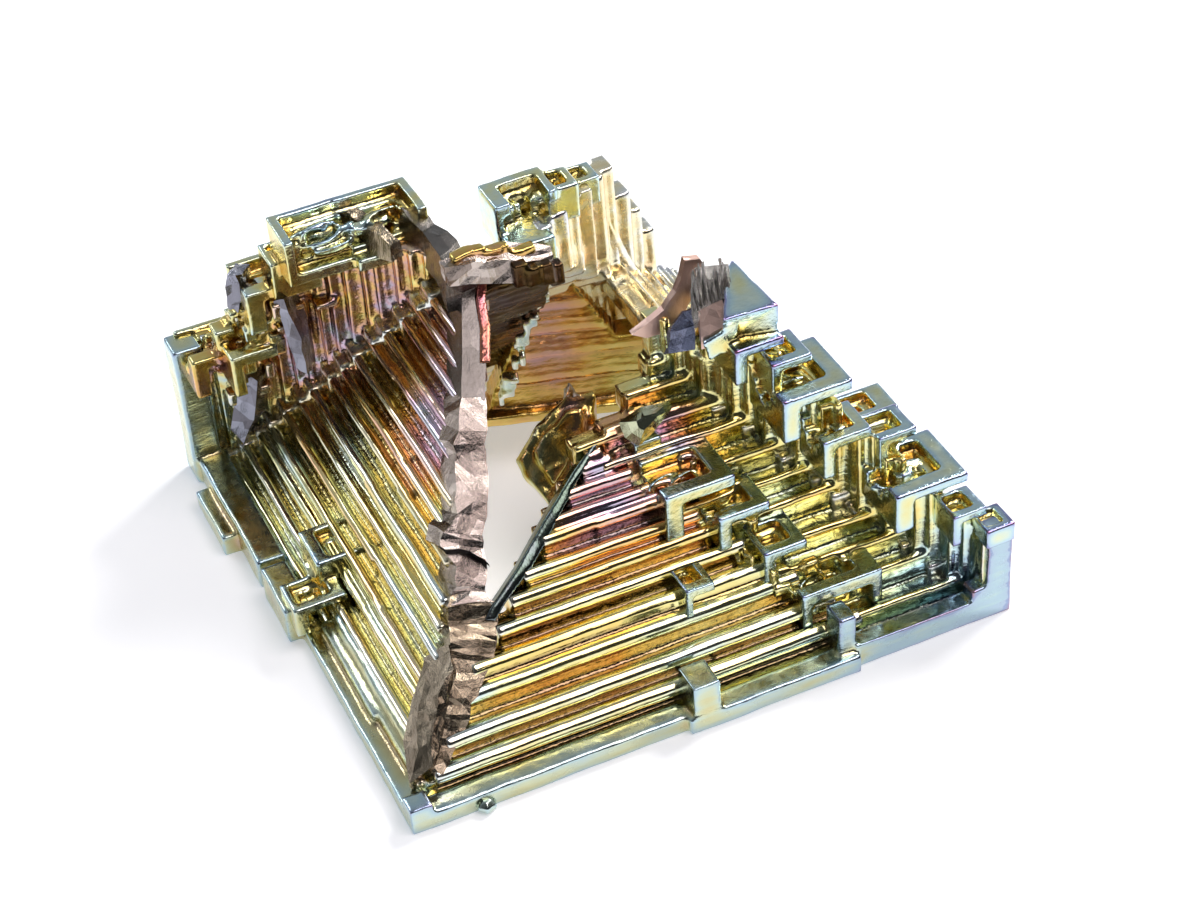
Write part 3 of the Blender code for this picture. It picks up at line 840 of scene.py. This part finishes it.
FAR_BLOCK_FILM = film_material("oxide_film_far_blocks", (
    ((18.6, 26.0, 21.0), 2.6, -0.07),
    ((23.5, 27.5, 20.5), 3.6, 0.04),
), Thickness=0.58, Hollow_Gain=0.3, Crease_Gain=0.1, Stripe=0.08, Swirl=0.1, Deep=0.8, Veil=0.10,
    Pit=(0.17, 0.13, 0.04))
far_blocks = start_piece("far_blocks", FAR_BLOCK_FILM, (
    *hopper(((18.2, 22.4), (25.6, 28.6), (19.2, 22.5)), ("top", (2, 7, 0, 6), 6), ("front", (1, 8, 0, 6), 6)),
    *hopper(((21.9, 24.0), (25.9, 28.2), (19.8, 22.3)), TOP),
    *hopper(((24.4, 26.3), (27.9, 29.9), (18.8, 20.9)), TOP),
    ((18.4, 21.4), (23.8, 27.0), (18.3, 20.5)),
))
grow(far_blocks, CRUMBS, Count=24, Start=(19.0, 27.0, 20.6), End=(25.6, 29.0, 19.6), Spread=(1.6, 1.8, 1.8),
     Small=0.4, Large=1.2, Seed=36)
melt(far_blocks, voxel=0.15, Bend=0.2)
finish_piece(far_blocks)

RIDGES, RIDGE_RADIUS = 7, 0.50
ridge_ends = (
    ((23.6, 29.0, 19.2), (26.3, 29.0, 18.7)), ((24.4, 28.9, 15.5), (27.6, 29.2, 14.2)),
    ((24.6, 28.6, 11.0), (28.8, 29.6, 11.2)), ((24.4, 28.2, 7.0), (29.8, 30.0, 8.8)),
)
ridge_section = [
    Vector((RIDGE_RADIUS * math.cos(angle), RIDGE_RADIUS * math.sin(angle), 0.12 * math.sin(angle)))
    for angle in (math.pi * n / 4 for n in range(8))
]
far_ridges = start_piece("far_ridges", BACK_FILM, (), [[
    [Vector(first).lerp(last, ridge / (RIDGES - 1)) + side for side in ridge_section]
    for first, last in ridge_ends
] for ridge in range(RIDGES)])
melt(far_ridges, voxel=0.15, smooth=4, Bend=0.4, Grain=0.06)
finish_piece(far_ridges)


# The left wall and its fin
# The frames' left sides, closer set and steeper than the front, with lilac crests. At the far end
# each stands up as a post, and open blocks with curled frames grew on the posts and on the foot.
LEFT_FILM = film_material("oxide_film_left", (
    ((13.0, 19.0, 15.0), 10.0, 0.28),
    ((6.0, 20.0, 7.0), 6.0, 0.03),
    ((-1.0, 24.0, 0.0), 9.0, -0.05),
    ((7.5, 32.0, 11.0), 5.0, 0.14),
    ((5.0, 35.0, 10.0), 5.0, 0.14),
    ((10.0, 30.0, 17.0), 8.0, 0.15),
    ((12.2, 29.6, 15.4), 2.3, 0.15),
    ((9.8, 31.4, 12.4), 2.3, 0.15),
    ((7.2, 33.4, 9.2), 2.3, 0.13),
), Thickness=0.60, Stretch=(1.8, 0.07, 1.8), Stripe=0.26, Hollow_Gain=0.0, Crease_Gain=0.1, Deep=0.56,
    Veil=0.15, Reach=0.26, Pit=(0.20, 0.15, 0.08), Roughness=0.11, Crest=(0.80, 0.76, 0.82), Worn=0.45,
    Ripples=0.25)
left_wall = start_piece("left_wall", LEFT_FILM, (
    ((0.4, 1.7), (0.4, 38.4), (0.0, 1.1)),
    ((-0.6, 0.9), (36.8, 38.7), (0.0, 10.6)),
))
grow(left_wall, TERRACES, Steps=17, Base=0.3, Pitch=1.1, Phase=0.9, Lean=0.8, Start=0.6, Start_Slope=0.93,
     Start_Curve=0.018, End=38.6, End_Slope=0.60, Bar_Rise=0.2, Lip=0.74, Lip_Height=0.36, Recess=0.22,
     Step_Over=0.06, Post_Width=0.6, Post_Foot=9.4, Post_Slope=1.5, Post_Top=19.6, Facet=7.5, Seed=21,
     **SIDEWAYS)
grow(left_wall, CRUMBS, Count=60, Start=(1.8, 36.4, 8.2), End=(6.8, 32.2, 16.4), Spread=(3.0, 3.0, 3.4),
     Small=0.4, Large=1.6, Seed=33)
melt(left_wall, voxel=0.16, Grain=0.03)
finish_piece(left_wall)

LEFT_BLOCK_FILM = film_material("oxide_film_left_blocks", (
    ((10.0, 31.0, 21.5), 6.0, -0.10),
    ((2.0, 35.5, 8.0), 6.0, 0.14),
    ((5.5, 33.0, 16.0), 3.0, 0.06),
    ((2.0, 21.0, 4.0), 3.5, -0.08),
), Thickness=0.665, Hollow_Gain=0.36, Crease_Gain=0.2, Stripe=0.08, Deep=0.8, Veil=0.14,
    Pit=(0.17, 0.09, 0.025), Roughness=0.15, Top_Change=-0.04)
CORNER_BLOCK = ((1.6, 4.8), (32.0, 36.4), (9.6, 12.6))
left_blocks = start_piece("left_blocks", LEFT_BLOCK_FILM, (
    *hopper(((1.8, 5.4), (19.4, 23.0), (2.6, 5.0)), ("top", (2, 7, 1, 7), 5)),
    *hopper(((-0.6, 3.0), (17.6, 20.4), (1.4, 3.6)), TOP, HOOK),
    *hopper(((-0.4, 3.8), (34.7, 38.8), (8.4, 11.3)), WIDE_TOP, HOOK),
    *hopper(CORNER_BLOCK, TOP, HOOK),
    *hopper(((3.2, 7.8), (31.6, 35.7), (14.2, 17.4)), WIDE_TOP, HOOK),
    *hopper(((5.0, 8.2), (31.2, 33.8), (16.6, 19.4)), TOP),
    *hopper(((5.6, 10.6), (29.4, 32.8), (18.6, 21.9)), ("top", (1, 8, 0, 7), 5), ("front", (1, 8, 2, 8), 3)),
    *hopper(((10.0, 14.9), (28.8, 32.8), (18.6, 21.9)), ("top", (0, 7, 0, 7), 5), ("front", (0, 7, 2, 8), 3)),
), (
    *curls(((6.2, 10.8), (29.4, 31.8), (19.0, 22.2)), 6, 11, thick=0.6),
    *curls(((10.2, 14.4), (29.0, 31.6), (19.0, 22.2)), 6, 12, thick=0.6),
    *curls(CORNER_BLOCK, 3, 13),
))
grow(left_blocks, CRUMBS, Count=34, Start=(0.2, 37.4, 9.0), End=(5.0, 33.0, 14.6), Spread=(2.0, 2.4, 3.0),
     Small=0.4, Large=1.5, Seed=34)
grow(left_blocks, CRUMBS, Count=12, Start=(1.4, 19.8, 2.8), End=(3.8, 22.4, 4.2), Spread=(1.2, 1.2, 0.8),
     Small=0.3, Large=0.9, Seed=35)
melt(left_blocks, voxel=0.14, smooth=2, Bend=0.2)
finish_piece(left_blocks)


# The turned grain in the hollow
# A second crystal, turned by 18 degrees, that grew on the inside of the far wall: an amber stepped face, a
# face that leans over it on the left, painted nearly black as its shade, and a row of bright drops in the
# valley between.
INNER_FILM = film_material("oxide_film_inner", (
    ((21.5, 27.5, 8.6), 4.0, 0.055),
    ((27.0, 28.0, 5.0), 5.0, -0.07),
), Thickness=0.735, Stretch=(0.3, 1.2, 1.0), Swirl=0.12, Stripe=0.07, Deep=0.7, Veil=0.0, Reach=0.22,
    Pit=(0.10, 0.04, 0.01))
# A nearly black film; on the leaning face in the hollow its darkness is painted shade.
DARK_AND_SHADE_FILM = film_material("oxide_film_dark", Thickness=0.78, Stretch=(1.0, 1.0, 0.3), Stripe=0.2, Deep=0.97,
                          Veil=0.93, Pit=(0.022, 0.013, 0.006), Roughness=0.2)
# The drops' pale crest colour, mixed in strongly here, is a painted highlight.
BUMP_FILM = film_material("oxide_film_bumps", Thickness=0.56, Deep=0.1, Veil=0.0, Crest=(0.95, 0.95, 0.82),
                          Worn=0.8, Roughness=0.2)
GRAIN_PLACE = Matrix.Translation((18.3, 28.7, 5.2)) @ Matrix.Rotation(math.radians(-18.0), 4, "Z")
GRAIN_SPACE = dict(Low=(-9.0, -9.0, -5.0), High=(19.0, 19.0, 19.0))  # the wobble's limits, in its own axes
GRAIN_STEPS, GRAIN_PITCH, GRAIN_FOOT = 22, 0.46, -0.8
DARK_PITCH, DARK_FOOT = 0.56, 6.6
grain_boxes = [((-1.5, 9.8), (-1.0, 2.0), (-1.5, -0.7))]
dark_boxes = []
for step in range(GRAIN_STEPS):
    height = GRAIN_FOOT + GRAIN_PITCH * step
    valley = 0.42 * height
    far_end = 10.3 - 0.62 * height + (3.6 if step < 10 else 0.0)
    ledge = 0.06 * (step % 4)
    back = 2.6 - 0.2 * max(0.0, height - 2.0)
    grain_boxes.append(((valley - 0.4, far_end), (0.10 * height + ledge, back), (height, height + 0.55)))
    high = DARK_FOOT + DARK_PITCH * step
    wall_line = 34.9 - 0.66 * high  # the inside of the back wall, which leans in as it rises
    left_end = max(13.6, 0.8 * high + 0.3)
    right_end = 20.5 + 0.7 * math.sin(0.26 * (high - DARK_FOOT))
    dark_boxes.append(((left_end, right_end), (wall_line + 2 * ledge, wall_line + 2.5), (high, high + 0.6)))
inner = start_piece("inner_grain", INNER_FILM, grain_boxes)
melt(inner, voxel=0.15, smooth=2, Bend=0.3, Bend_Scale=0.3, Grain=0.12, **GRAIN_SPACE)
finish_piece(inner, GRAIN_PLACE)

dark_face = start_piece("inner_dark_face", DARK_AND_SHADE_FILM, dark_boxes)
melt(dark_face, smooth=4, Bend=0.4, Bend_Scale=0.5, Grain=0.12)
finish_piece(dark_face)

bumps = start_piece("valley_bumps", BUMP_FILM, (((3.0, 3.8), (-1.6, 0.6), (8.6, 9.6)),))
grow(bumps, CRUMBS, Count=20, Start=(0.1, -1.0, 0.7), End=(3.3, -1.6, 9.6), Spread=(0.5, 0.4, 0.5),
     Small=0.35, Large=0.95, Seed=41)
melt(bumps, voxel=0.13, smooth=4, **GRAIN_SPACE)
finish_piece(bumps, GRAIN_PLACE)


# The small grain by the gap
# A kite-shaped grain caught in the gap, stepped towards its middle, its tips torn off. It grew out of
# the back of the front wall on a thick root.
GRAIN_FILM = film_material("oxide_film_grain", (
    ((19.5, 16.5, 12.0), 3.4, 0.16),
), Thickness=0.62, Stretch=(1.6, 1.6, 0.3), Swirl=0.1, Stripe=0.14, Deep=0.85, Veil=0.2, Reach=0.22,
    Pit=(0.13, 0.10, 0.02))
TOWARD_FRONT = Vector((-0.29, -0.71, 0.64))
KITE_MIDDLE = Vector((17.6, 16.4, 10.8))
KITE = ((14.7, 16.9, 10.1), (15.5, 14.2, 7.4), (19.8, 15.4, 10.8), (20.4, 17.4, 13.2), (19.0, 18.0, 13.3),
        (16.0, 17.4, 11.3))


def drawn_ring(outline, middle, share, shift):
    """An outline drawn to some share of its size about a middle, and then moved."""
    return [middle.lerp(point, share) + shift for point in outline]


root_sections = (
    (16.9, 17.6, 19.6, 9.6, 11.6), (14.6, 18.9, 21.4, 8.8, 11.0), (12.6, 19.6, 22.8, 8.4, 10.8),
    (10.6, 19.8, 23.0, 8.2, 10.6),
)
centre_grain = start_piece("centre_grain", GRAIN_FILM, (), (
    *([drawn_ring(KITE, KITE_MIDDLE, share, forward * TOWARD_FRONT) for share, forward in rings]
      for rings in (((0.5, -2.6), (1.0, -0.6), (0.94, 0.1)), ((0.66, -0.4), (0.60, 0.7)))),
    [[(left, y, foot), (far, y, foot), (far, y, head), (left, y, head)]
     for y, left, far, foot, head in root_sections],
))
melt(centre_grain, voxel=0.14, Bend=0.9, Bend_Scale=0.5, Grain=0.12)
finish_piece(centre_grain)


# The broken edge of the left wall
# The near fin broke off here, down the end of the left wall. Broken bismuth is bare grey-brown metal in flat
# cleavage facets, brightest half way up, and one crack runs across it, drawn as a near-black sheet that is
# its painted shade.
def broken_tree():
    """Stained cleavage faces, with fine steps across them."""
    tree, given, out = new_tree("broken_face", "ShaderNodeTree", {
        "Dark": ("Color", (0.19, 0.15, 0.13, 1.0)), "Light": ("Color", (0.63, 0.55, 0.50, 1.0)),
        "Stretch": ("Vector", (1.6, 1.6, 0.35)),
    }, {"Color": "Color", "Height": "Float"})
    place = Field(tree, add(tree, "ShaderNodeTexCoord").outputs["Object"]).scaled(1 / MM)
    facets = add(tree, "ShaderNodeTexVoronoi", {"Vector": place, "Scale": 0.8})
    steps = add(tree, "ShaderNodeTexNoise", {
        "Vector": place * given["Stretch"], "Scale": 2.0, "Detail": 6.0, "Roughness": 0.7,
    })
    tree.links.new(mix(tree, facets.outputs["Color"], given["Dark"], given["Light"]), out["Color"])
    tree.links.new(steps.outputs["Fac"], out["Height"])
    return tree


BROKEN_FACE = broken_tree()
CLEAVAGE_HEIGHT = 0.2 * MM


def broken_metal(name, roughness=0.14, strength=0.35, **values):
    material, _, shader = metal(name, BROKEN_FACE, values, strength, CLEAVAGE_HEIGHT)
    shader.inputs["Roughness"].default_value = roughness
    return material


def torn(name, material, *shapes, cuts, jag, seed=1):
    """A broken piece; each shape goes through rings of points. Flat facets with uneven edges."""
    mesh = bmesh.new()
    for rings in shapes:
        sweep(mesh, rings)
    bmesh.ops.recalc_face_normals(mesh, faces=mesh.faces)
    bmesh.ops.triangulate(mesh, faces=mesh.faces)
    bmesh.ops.subdivide_edges(mesh, edges=mesh.edges, cuts=cuts, use_grid_fill=True)
    bmesh.ops.triangulate(mesh, faces=mesh.faces)
    for vertex in mesh.verts:
        shift = noise.cell_vector(vertex.co * 0.9 + Vector((seed, 0, 0))) - Vector((0.5, 0.5, 0.5))
        shift += 0.7 * noise.noise_vector(vertex.co * 1.7 + Vector((0, seed, 0)))
        vertex.co += jag * shift
        vertex.co.z = max(vertex.co.z, 0.0)
    data = bpy.data.meshes.new(name)
    mesh.to_mesh(data)
    mesh.free()
    set_in_place(name, data, material)


# The noise in torn faces starts from the clock unless its state is set, so it is set to a fixed state here.
TORN_STATE = 1795843166
noise.seed_set(TORN_STATE)

BROKEN = broken_metal("broken_metal")
BROKEN_GREY = broken_metal("broken_grey", Dark=(0.12, 0.11, 0.10), Light=(0.22, 0.20, 0.19), roughness=0.26,
                           strength=0.2)
BROKEN_BROWN = broken_metal("broken_brown", Dark=(0.12, 0.09, 0.06), Light=(0.46, 0.38, 0.28))
CRACK_SHADE = broken_metal("crack_black", Dark=(0.008, 0.008, 0.008), Light=(0.03, 0.025, 0.025),
                           roughness=0.4)
break_rows = (  # the two sides of the break, from the top down
    ((15.12, 24.05, 19.59), (16.35, 23.69, 19.37)), ((14.42, 22.75, 18.77), (15.54, 22.43, 18.57)),
    ((13.67, 21.19, 17.77), (15.08, 20.79, 17.51)), ((12.81, 19.41, 16.60), (14.21, 19.02, 16.34)),
    ((11.95, 17.68, 15.43), (13.30, 17.30, 15.16)), ((11.26, 16.76, 14.79), (12.94, 16.29, 14.46)),
    ((10.56, 15.59, 13.96), (12.35, 15.09, 13.61)), ((10.16, 14.89, 13.46), (11.98, 14.38, 13.09)),
    ((9.52, 13.47, 12.42), (11.28, 12.98, 12.06)), ((9.04, 12.40, 11.62), (10.76, 11.92, 11.25)),
    ((7.94, 11.57, 10.98), (10.26, 10.93, 10.48)), ((7.47, 11.13, 10.64), (10.01, 10.44, 10.09)),
    ((7.70, 10.16, 9.88), (9.61, 9.64, 9.46)), ((7.24, 9.24, 9.13), (9.00, 8.76, 8.74)),
    ((6.94, 8.77, 8.75), (8.70, 8.30, 8.36)), ((6.65, 8.31, 8.37), (9.2, 7.70, 7.87)),
    ((6.20, 7.42, 7.62), (8.95, 6.85, 7.13)), ((5.78, 6.71, 7.01), (8.55, 6.10, 6.50)),
    ((5.36, 5.88, 6.28), (7.95, 5.35, 5.86)), ((4.67, 4.90, 5.40), (6.90, 4.40, 5.00)),
    ((3.99, 3.94, 4.50), (5.68, 3.50, 4.08)), ((3.36, 3.20, 3.80), (5.27, 2.71, 3.32)),
    ((2.74, 2.48, 3.09), (4.42, 2.05, 2.66)), ((2.17, 1.88, 2.50), (3.52, 1.54, 2.15)),
)
BREAK_BEHIND = Vector((-0.1, 1.1, -0.5))


def break_rings(first, last, spread, seed, forward=0.0):
    """Rings along the broken edge, a little uneven, between two of its rows."""
    draw = random.Random(seed)
    rings = []
    for near, far in break_rows[first:last]:
        across = (Vector(far) - Vector(near)) * min(1.0, 0.35 + 0.1 * Vector(near).z)  # narrower low down
        uneven = Vector([draw.uniform(-spread, spread) for _ in range(3)])
        near = Vector(near) + uneven - forward * BREAK_BEHIND
        rings.append([near + 2.0 * BREAK_BEHIND, near + BREAK_BEHIND + across, near + across, near])
    return rings


torn("left_edge_top", BROKEN_GREY, break_rings(0, 5, 0.02, 4), cuts=1, jag=0.04)
torn("left_edge_break", BROKEN, break_rings(4, 16, 0.16, 5), cuts=1, jag=0.22, seed=6)
torn("left_edge_foot", BROKEN_BROWN, break_rings(14, 24, 0.14, 6, -0.15), cuts=2, jag=0.18, seed=7)
# The crack: a thin sheet just in front of the break, nearly black as its painted shade.
crack_line = (
    (7.3, 11.0, 10.7), (7.6, 10.75, 10.45), (8.3, 10.6, 10.35), (8.9, 10.3, 10.15), (9.5, 9.8, 9.7),
    (9.75, 9.5, 9.4),
)
crack_section = ((0.0, 0.0, 0.14), (0.1, 0.9, -0.5), (0.05, 0.0, -0.14))
torn("edge_crack", CRACK_SHADE, [
    [Vector(point) + 0.4 * TOWARD_FRONT + Vector(shift) for shift in crack_section] for point in crack_line
], cuts=1, jag=0.06, seed=19)

# A strip of thick red film lies along the far side of the break, at its top.
RED_FILM = film_material("oxide_film_red", Thickness=0.235, Stripe=0.05, Swirl=0.04)
strip_section = ((-0.35, 0.1, 0.2), (0.3, -0.1, 0.16), (0.3, 0.7, -0.3), (-0.3, 0.8, -0.3))
red_strip = start_piece("red_strip", RED_FILM, (), ([
    [Vector(far) + Vector(shift) for shift in strip_section] for near, far in break_rows[0:4]
],))
melt(red_strip, voxel=0.1, smooth=1, Bend=0.1, Grain=0.04)
finish_piece(red_strip)


# The near corner
# The fin's foot broke off at the corner too. It left streaked bare metal from the rim up to the foot
# of the gap, lying on the crest between the two walls.
corner_middle = Vector((3.3, 4.4, 4.5))
corner_outline = (
    (4.48, 7.69, 5.94), (5.67, 6.80, 7.13), (5.25, 5.09, 6.70), (4.17, 3.95, 5.11), (3.02, 2.58, 3.66),
    (2.33, 1.90, 2.94), (0.80, 2.14, 1.81), (1.62, 4.87, 2.75), (2.90, 6.38, 4.18),
)
torn("near_corner_break", BROKEN_BROWN, [
    drawn_ring(corner_outline, corner_middle, share, Vector(shift)) for share, shift in (
        (1.0, (0.6, 0.7, -1.6)), (1.0, (0.2, 0.3, -0.7)), (1.0, (0.0, 0.0, 0.0)), (0.5, (-0.1, -0.1, 0.2)),
    )
], cuts=2, jag=0.14, seed=11)


# The torn top of the right fin
# The highest block of the fin tore as it came out of the melt: a thin curled sheet of pinkish metal,
# a bundle of bright fibres beside it, and a smooth torn facet below.
BROKEN_PINK = broken_metal("broken_pink", Dark=(0.58, 0.38, 0.32), Light=(0.80, 0.57, 0.49), roughness=0.36,
                           strength=0.15)
BROKEN_FIBRES = broken_metal("broken_fibres", Dark=(0.16, 0.15, 0.14), Light=(0.60, 0.57, 0.54), strength=0.8,
                             Stretch=(3.2, 1.6, 0.4))
SHEET_PLANES = (15.4, 15.65, 15.9)
sheet_outline = (
    (26.23, 22.11), (27.22, 21.87), (27.44, 21.42), (26.64, 19.36), (25.84, 18.03), (24.85, 17.33),
    (23.41, 17.34), (22.46, 17.93), (23.36, 18.35), (24.67, 19.0), (25.51, 20.04), (25.93, 20.95),
)
torn("torn_sheet", BROKEN_PINK, [[(x, y, z) for x, z in sheet_outline] for y in SHEET_PLANES],
     cuts=1, jag=0.04, seed=3)

FIBRES = 22
draw = random.Random(9)
fibres = []
for n in range(FIBRES):
    share = n / (FIBRES - 1)
    root = Vector((25.4, 12.3, 19.9)).lerp(Vector((27.9, 12.5, 20.3)), share)
    tip = Vector((26.3, 14.9, 21.9)).lerp(Vector((28.7, 15.0, 21.5)), share)
    tip += Vector((draw.uniform(-0.3, 0.3), draw.uniform(-0.8, 0.2), draw.uniform(-0.5, 0.5)))
    wide = draw.uniform(0.12, 0.24)
    bow = draw.uniform(-0.15, 0.15)
    fibres.append([[
        root.lerp(tip, along) + Vector((aside + width * x, 0.3 * width * z, width * z))
        for x, z in ((-1, -1), (1, -1), (0.4, 1))
    ] for along, aside, width in ((0.0, 0.0, wide * 1.4), (0.5, bow, wide), (1.0, 0.0, 0.4 * wide))])
torn("torn_top", BROKEN_FIBRES, [
    [(25.5, 12.4, 18.4), (27.8, 12.4, 18.6), (27.8, 12.6, 20.2), (25.7, 12.6, 20.0)],
    [(26.2, 13.8, 18.6), (28.5, 13.8, 18.8), (28.4, 13.8, 20.8), (26.3, 13.8, 20.9)],
    [(26.8, 15.2, 19.0), (29.0, 15.2, 19.0), (28.9, 15.2, 21.1), (26.7, 15.2, 21.5)],
], *fibres, cuts=1, jag=0.1, seed=5)
facet = ((25.1, 11.3, 19.4), (26.9, 10.9, 20.2), (27.1, 12.3, 20.9), (25.7, 12.7, 20.4))
torn("torn_facet", BROKEN_PINK, [[(x, y, z - 0.9) for x, y, z in facet], facet], cuts=2, jag=0.12, seed=18)


# The band across the top of the hollow
# A broken bar that still joins the left wall to the far corner: bare facets below, a crust of orange
# film on top, and a row of small dark blocks along its front.
BAND_FILM = film_material("oxide_film_band", Thickness=0.75, Stripe=0.12, Swirl=0.08, Veil=0.2,
                          Pit=(0.2, 0.07, 0.01))
torn("centre_band", BROKEN, [
    [(13.6, 22.6, 20.2), (13.6, 23.6, 20.2), (13.6, 23.6, 21.4), (13.6, 22.7, 21.6)],
    [(15.5, 22.3, 19.9), (15.5, 23.6, 19.9), (15.6, 23.6, 21.6), (15.5, 22.6, 21.3)],
    [(17.6, 22.0, 19.3), (17.6, 23.6, 19.3), (17.8, 23.6, 21.4), (17.6, 22.4, 20.7)],
    [(20.6, 22.0, 18.6), (20.6, 23.2, 18.6), (20.8, 23.2, 20.3), (20.6, 22.4, 19.8)],
], cuts=2, jag=0.16, seed=8)
band_top = start_piece("band_top", BAND_FILM, (
    ((14.2, 16.4), (23.1, 23.9), (20.6, 21.8)), ((16.2, 17.9), (23.0, 23.8), (20.2, 21.5)),
    ((17.7, 19.6), (22.8, 23.6), (20.0, 21.1)),
))
melt(band_top, voxel=0.13, smooth=5, Bend=0.7, Bend_Scale=0.4, Grain=0.2)
finish_piece(band_top)
band_blocks = start_piece("band_blocks", DARK_AND_SHADE_FILM, (
    ((17.6, 18.6), (21.8, 22.6), (18.9, 20.6)), ((18.4, 19.3), (21.6, 22.4), (18.8, 20.2)),
    ((19.2, 20.2), (21.7, 22.6), (18.6, 20.1)), ((20.0, 21.0), (21.9, 22.8), (18.2, 19.7)),
))
melt(band_blocks, voxel=0.13, smooth=2, Bend=0.3, Grain=0.1)
finish_piece(band_blocks)


# The breaks on the left fin
# Behind the top of the break the fin's bars end in brown and grey cleaved faces, and three thin torn
# plates of dark metal stand against its blocks.
PLATE_GREY = broken_metal("plate_grey", Dark=(0.10, 0.09, 0.10), Light=(0.34, 0.35, 0.42), roughness=0.16)
torn("top_left_break", BROKEN_BROWN, [
    [(9.7, 32.3, 19.6), (10.6, 32.4, 19.6), (10.6, 32.4, 20.8), (9.9, 32.3, 21.0)],
    [(10.3, 31.6, 19.4), (11.5, 31.6, 19.4), (11.3, 31.8, 21.3), (10.5, 31.6, 21.4)],
    [(10.6, 30.4, 19.2), (11.9, 30.6, 19.2), (11.8, 30.6, 21.2), (10.8, 30.4, 21.2)],
    [(11.8, 27.6, 19.6), (12.6, 27.8, 19.6), (12.6, 27.8, 20.8), (11.9, 27.6, 20.8)],
], cuts=2, jag=0.14, seed=12)
torn("cleaved_facets", BROKEN_GREY, [
    [(13.4, 30.2, 18.8), (14.9, 30.2, 18.8), (14.9, 30.2, 21.0), (13.6, 30.2, 21.4)],
    [(13.9, 27.6, 18.4), (15.2, 28.2, 18.4), (15.2, 28.2, 20.9), (14.0, 27.6, 21.0)],
    [(14.0, 25.0, 18.2), (15.8, 26.0, 18.2), (15.8, 26.0, 20.8), (14.1, 25.0, 20.7)],
    [(13.4, 22.8, 18.0), (15.6, 23.0, 18.0), (15.6, 23.0, 20.2), (13.6, 22.8, 20.2)],
], cuts=1, jag=0.2, seed=14)
plate_back = Vector((1.2, 1.4, -0.5))
plates = [[[Vector(point) + plate_back for point in outline], outline] for outline in (
    ((4.89, 31.11, 16.7), (5.37, 30.63, 16.99), (5.84, 30.16, 13.97), (5.92, 30.08, 11.32), (5.5, 30.5, 11.6),
     (5.17, 30.83, 14.17)),
    ((2.41, 33.59, 10.27), (3.24, 32.76, 9.94), (2.69, 33.31, 6.42), (1.86, 34.14, 4.1), (1.41, 34.59, 5.16),
     (1.93, 34.07, 8.29)),
    ((2.63, 33.37, 18.2), (3.17, 32.83, 18.2), (3.11, 32.89, 16.36), (2.78, 33.22, 15.24),
     (2.39, 33.61, 15.77)),
)]
torn("left_plates", PLATE_GREY, *plates, cuts=2, jag=0.18, seed=20)


# The small torn bits
# A pale chip of clean metal lies in the valley above the front wall, the curled sheet of the right fin
# stands on a dark blue root, and the grain by the gap ends in splintered tips.
PALE_CHIP = broken_metal("pale_chip", Dark=(0.40, 0.44, 0.24), Light=(0.80, 0.80, 0.62), roughness=0.08,
                         strength=0.1)
BROKEN_NAVY = broken_metal("broken_navy", Dark=(0.05, 0.06, 0.10), Light=(0.26, 0.28, 0.40), strength=0.6)
chip_middle = Vector((21.6, 11.9, 14.1))
chip_outline = (
    (20.0, 12.7, 14.0), (21.5, 12.7, 14.6), (23.2, 12.2, 14.8), (23.2, 11.8, 14.4), (21.9, 11.5, 13.5),
    (20.7, 11.4, 12.8), (20.1, 12.0, 13.2),
)
torn("pale_chip", PALE_CHIP, [
    drawn_ring(chip_outline, chip_middle, share, forward * TOWARD_FRONT)
    for share, forward in ((0.7, -1.6), (1.0, 0.0), (0.4, 0.7))
], cuts=1, jag=0.05, seed=16)
torn("sheet_root", BROKEN_NAVY, [
    [(24.0, 14.0, 16.9), (25.6, 13.2, 17.2), (25.6, 14.0, 16.6), (24.2, 14.6, 16.4)],
    [(24.4, 14.2, 18.2), (25.7, 13.4, 18.6), (25.9, 14.2, 18.4), (24.6, 14.8, 18.0)],
    [(25.4, 14.4, 19.2), (26.1, 13.8, 19.6), (26.2, 14.4, 19.4), (25.5, 14.8, 19.0)],
], cuts=2, jag=0.16, seed=17)
torn("grain_tips", BROKEN, [
    [(18.6, 17.6, 12.6), (20.4, 17.0, 12.4), (20.3, 17.8, 12.2), (18.8, 18.2, 12.4)],
    [(18.7, 17.5, 13.4), (19.3, 17.3, 13.3), (19.3, 17.8, 13.2), (18.8, 18.0, 13.3)],
    [(18.9, 17.5, 14.1), (19.0, 17.4, 14.1), (19.0, 17.6, 14.0), (18.9, 17.6, 14.1)],
], cuts=2, jag=0.12, seed=15)
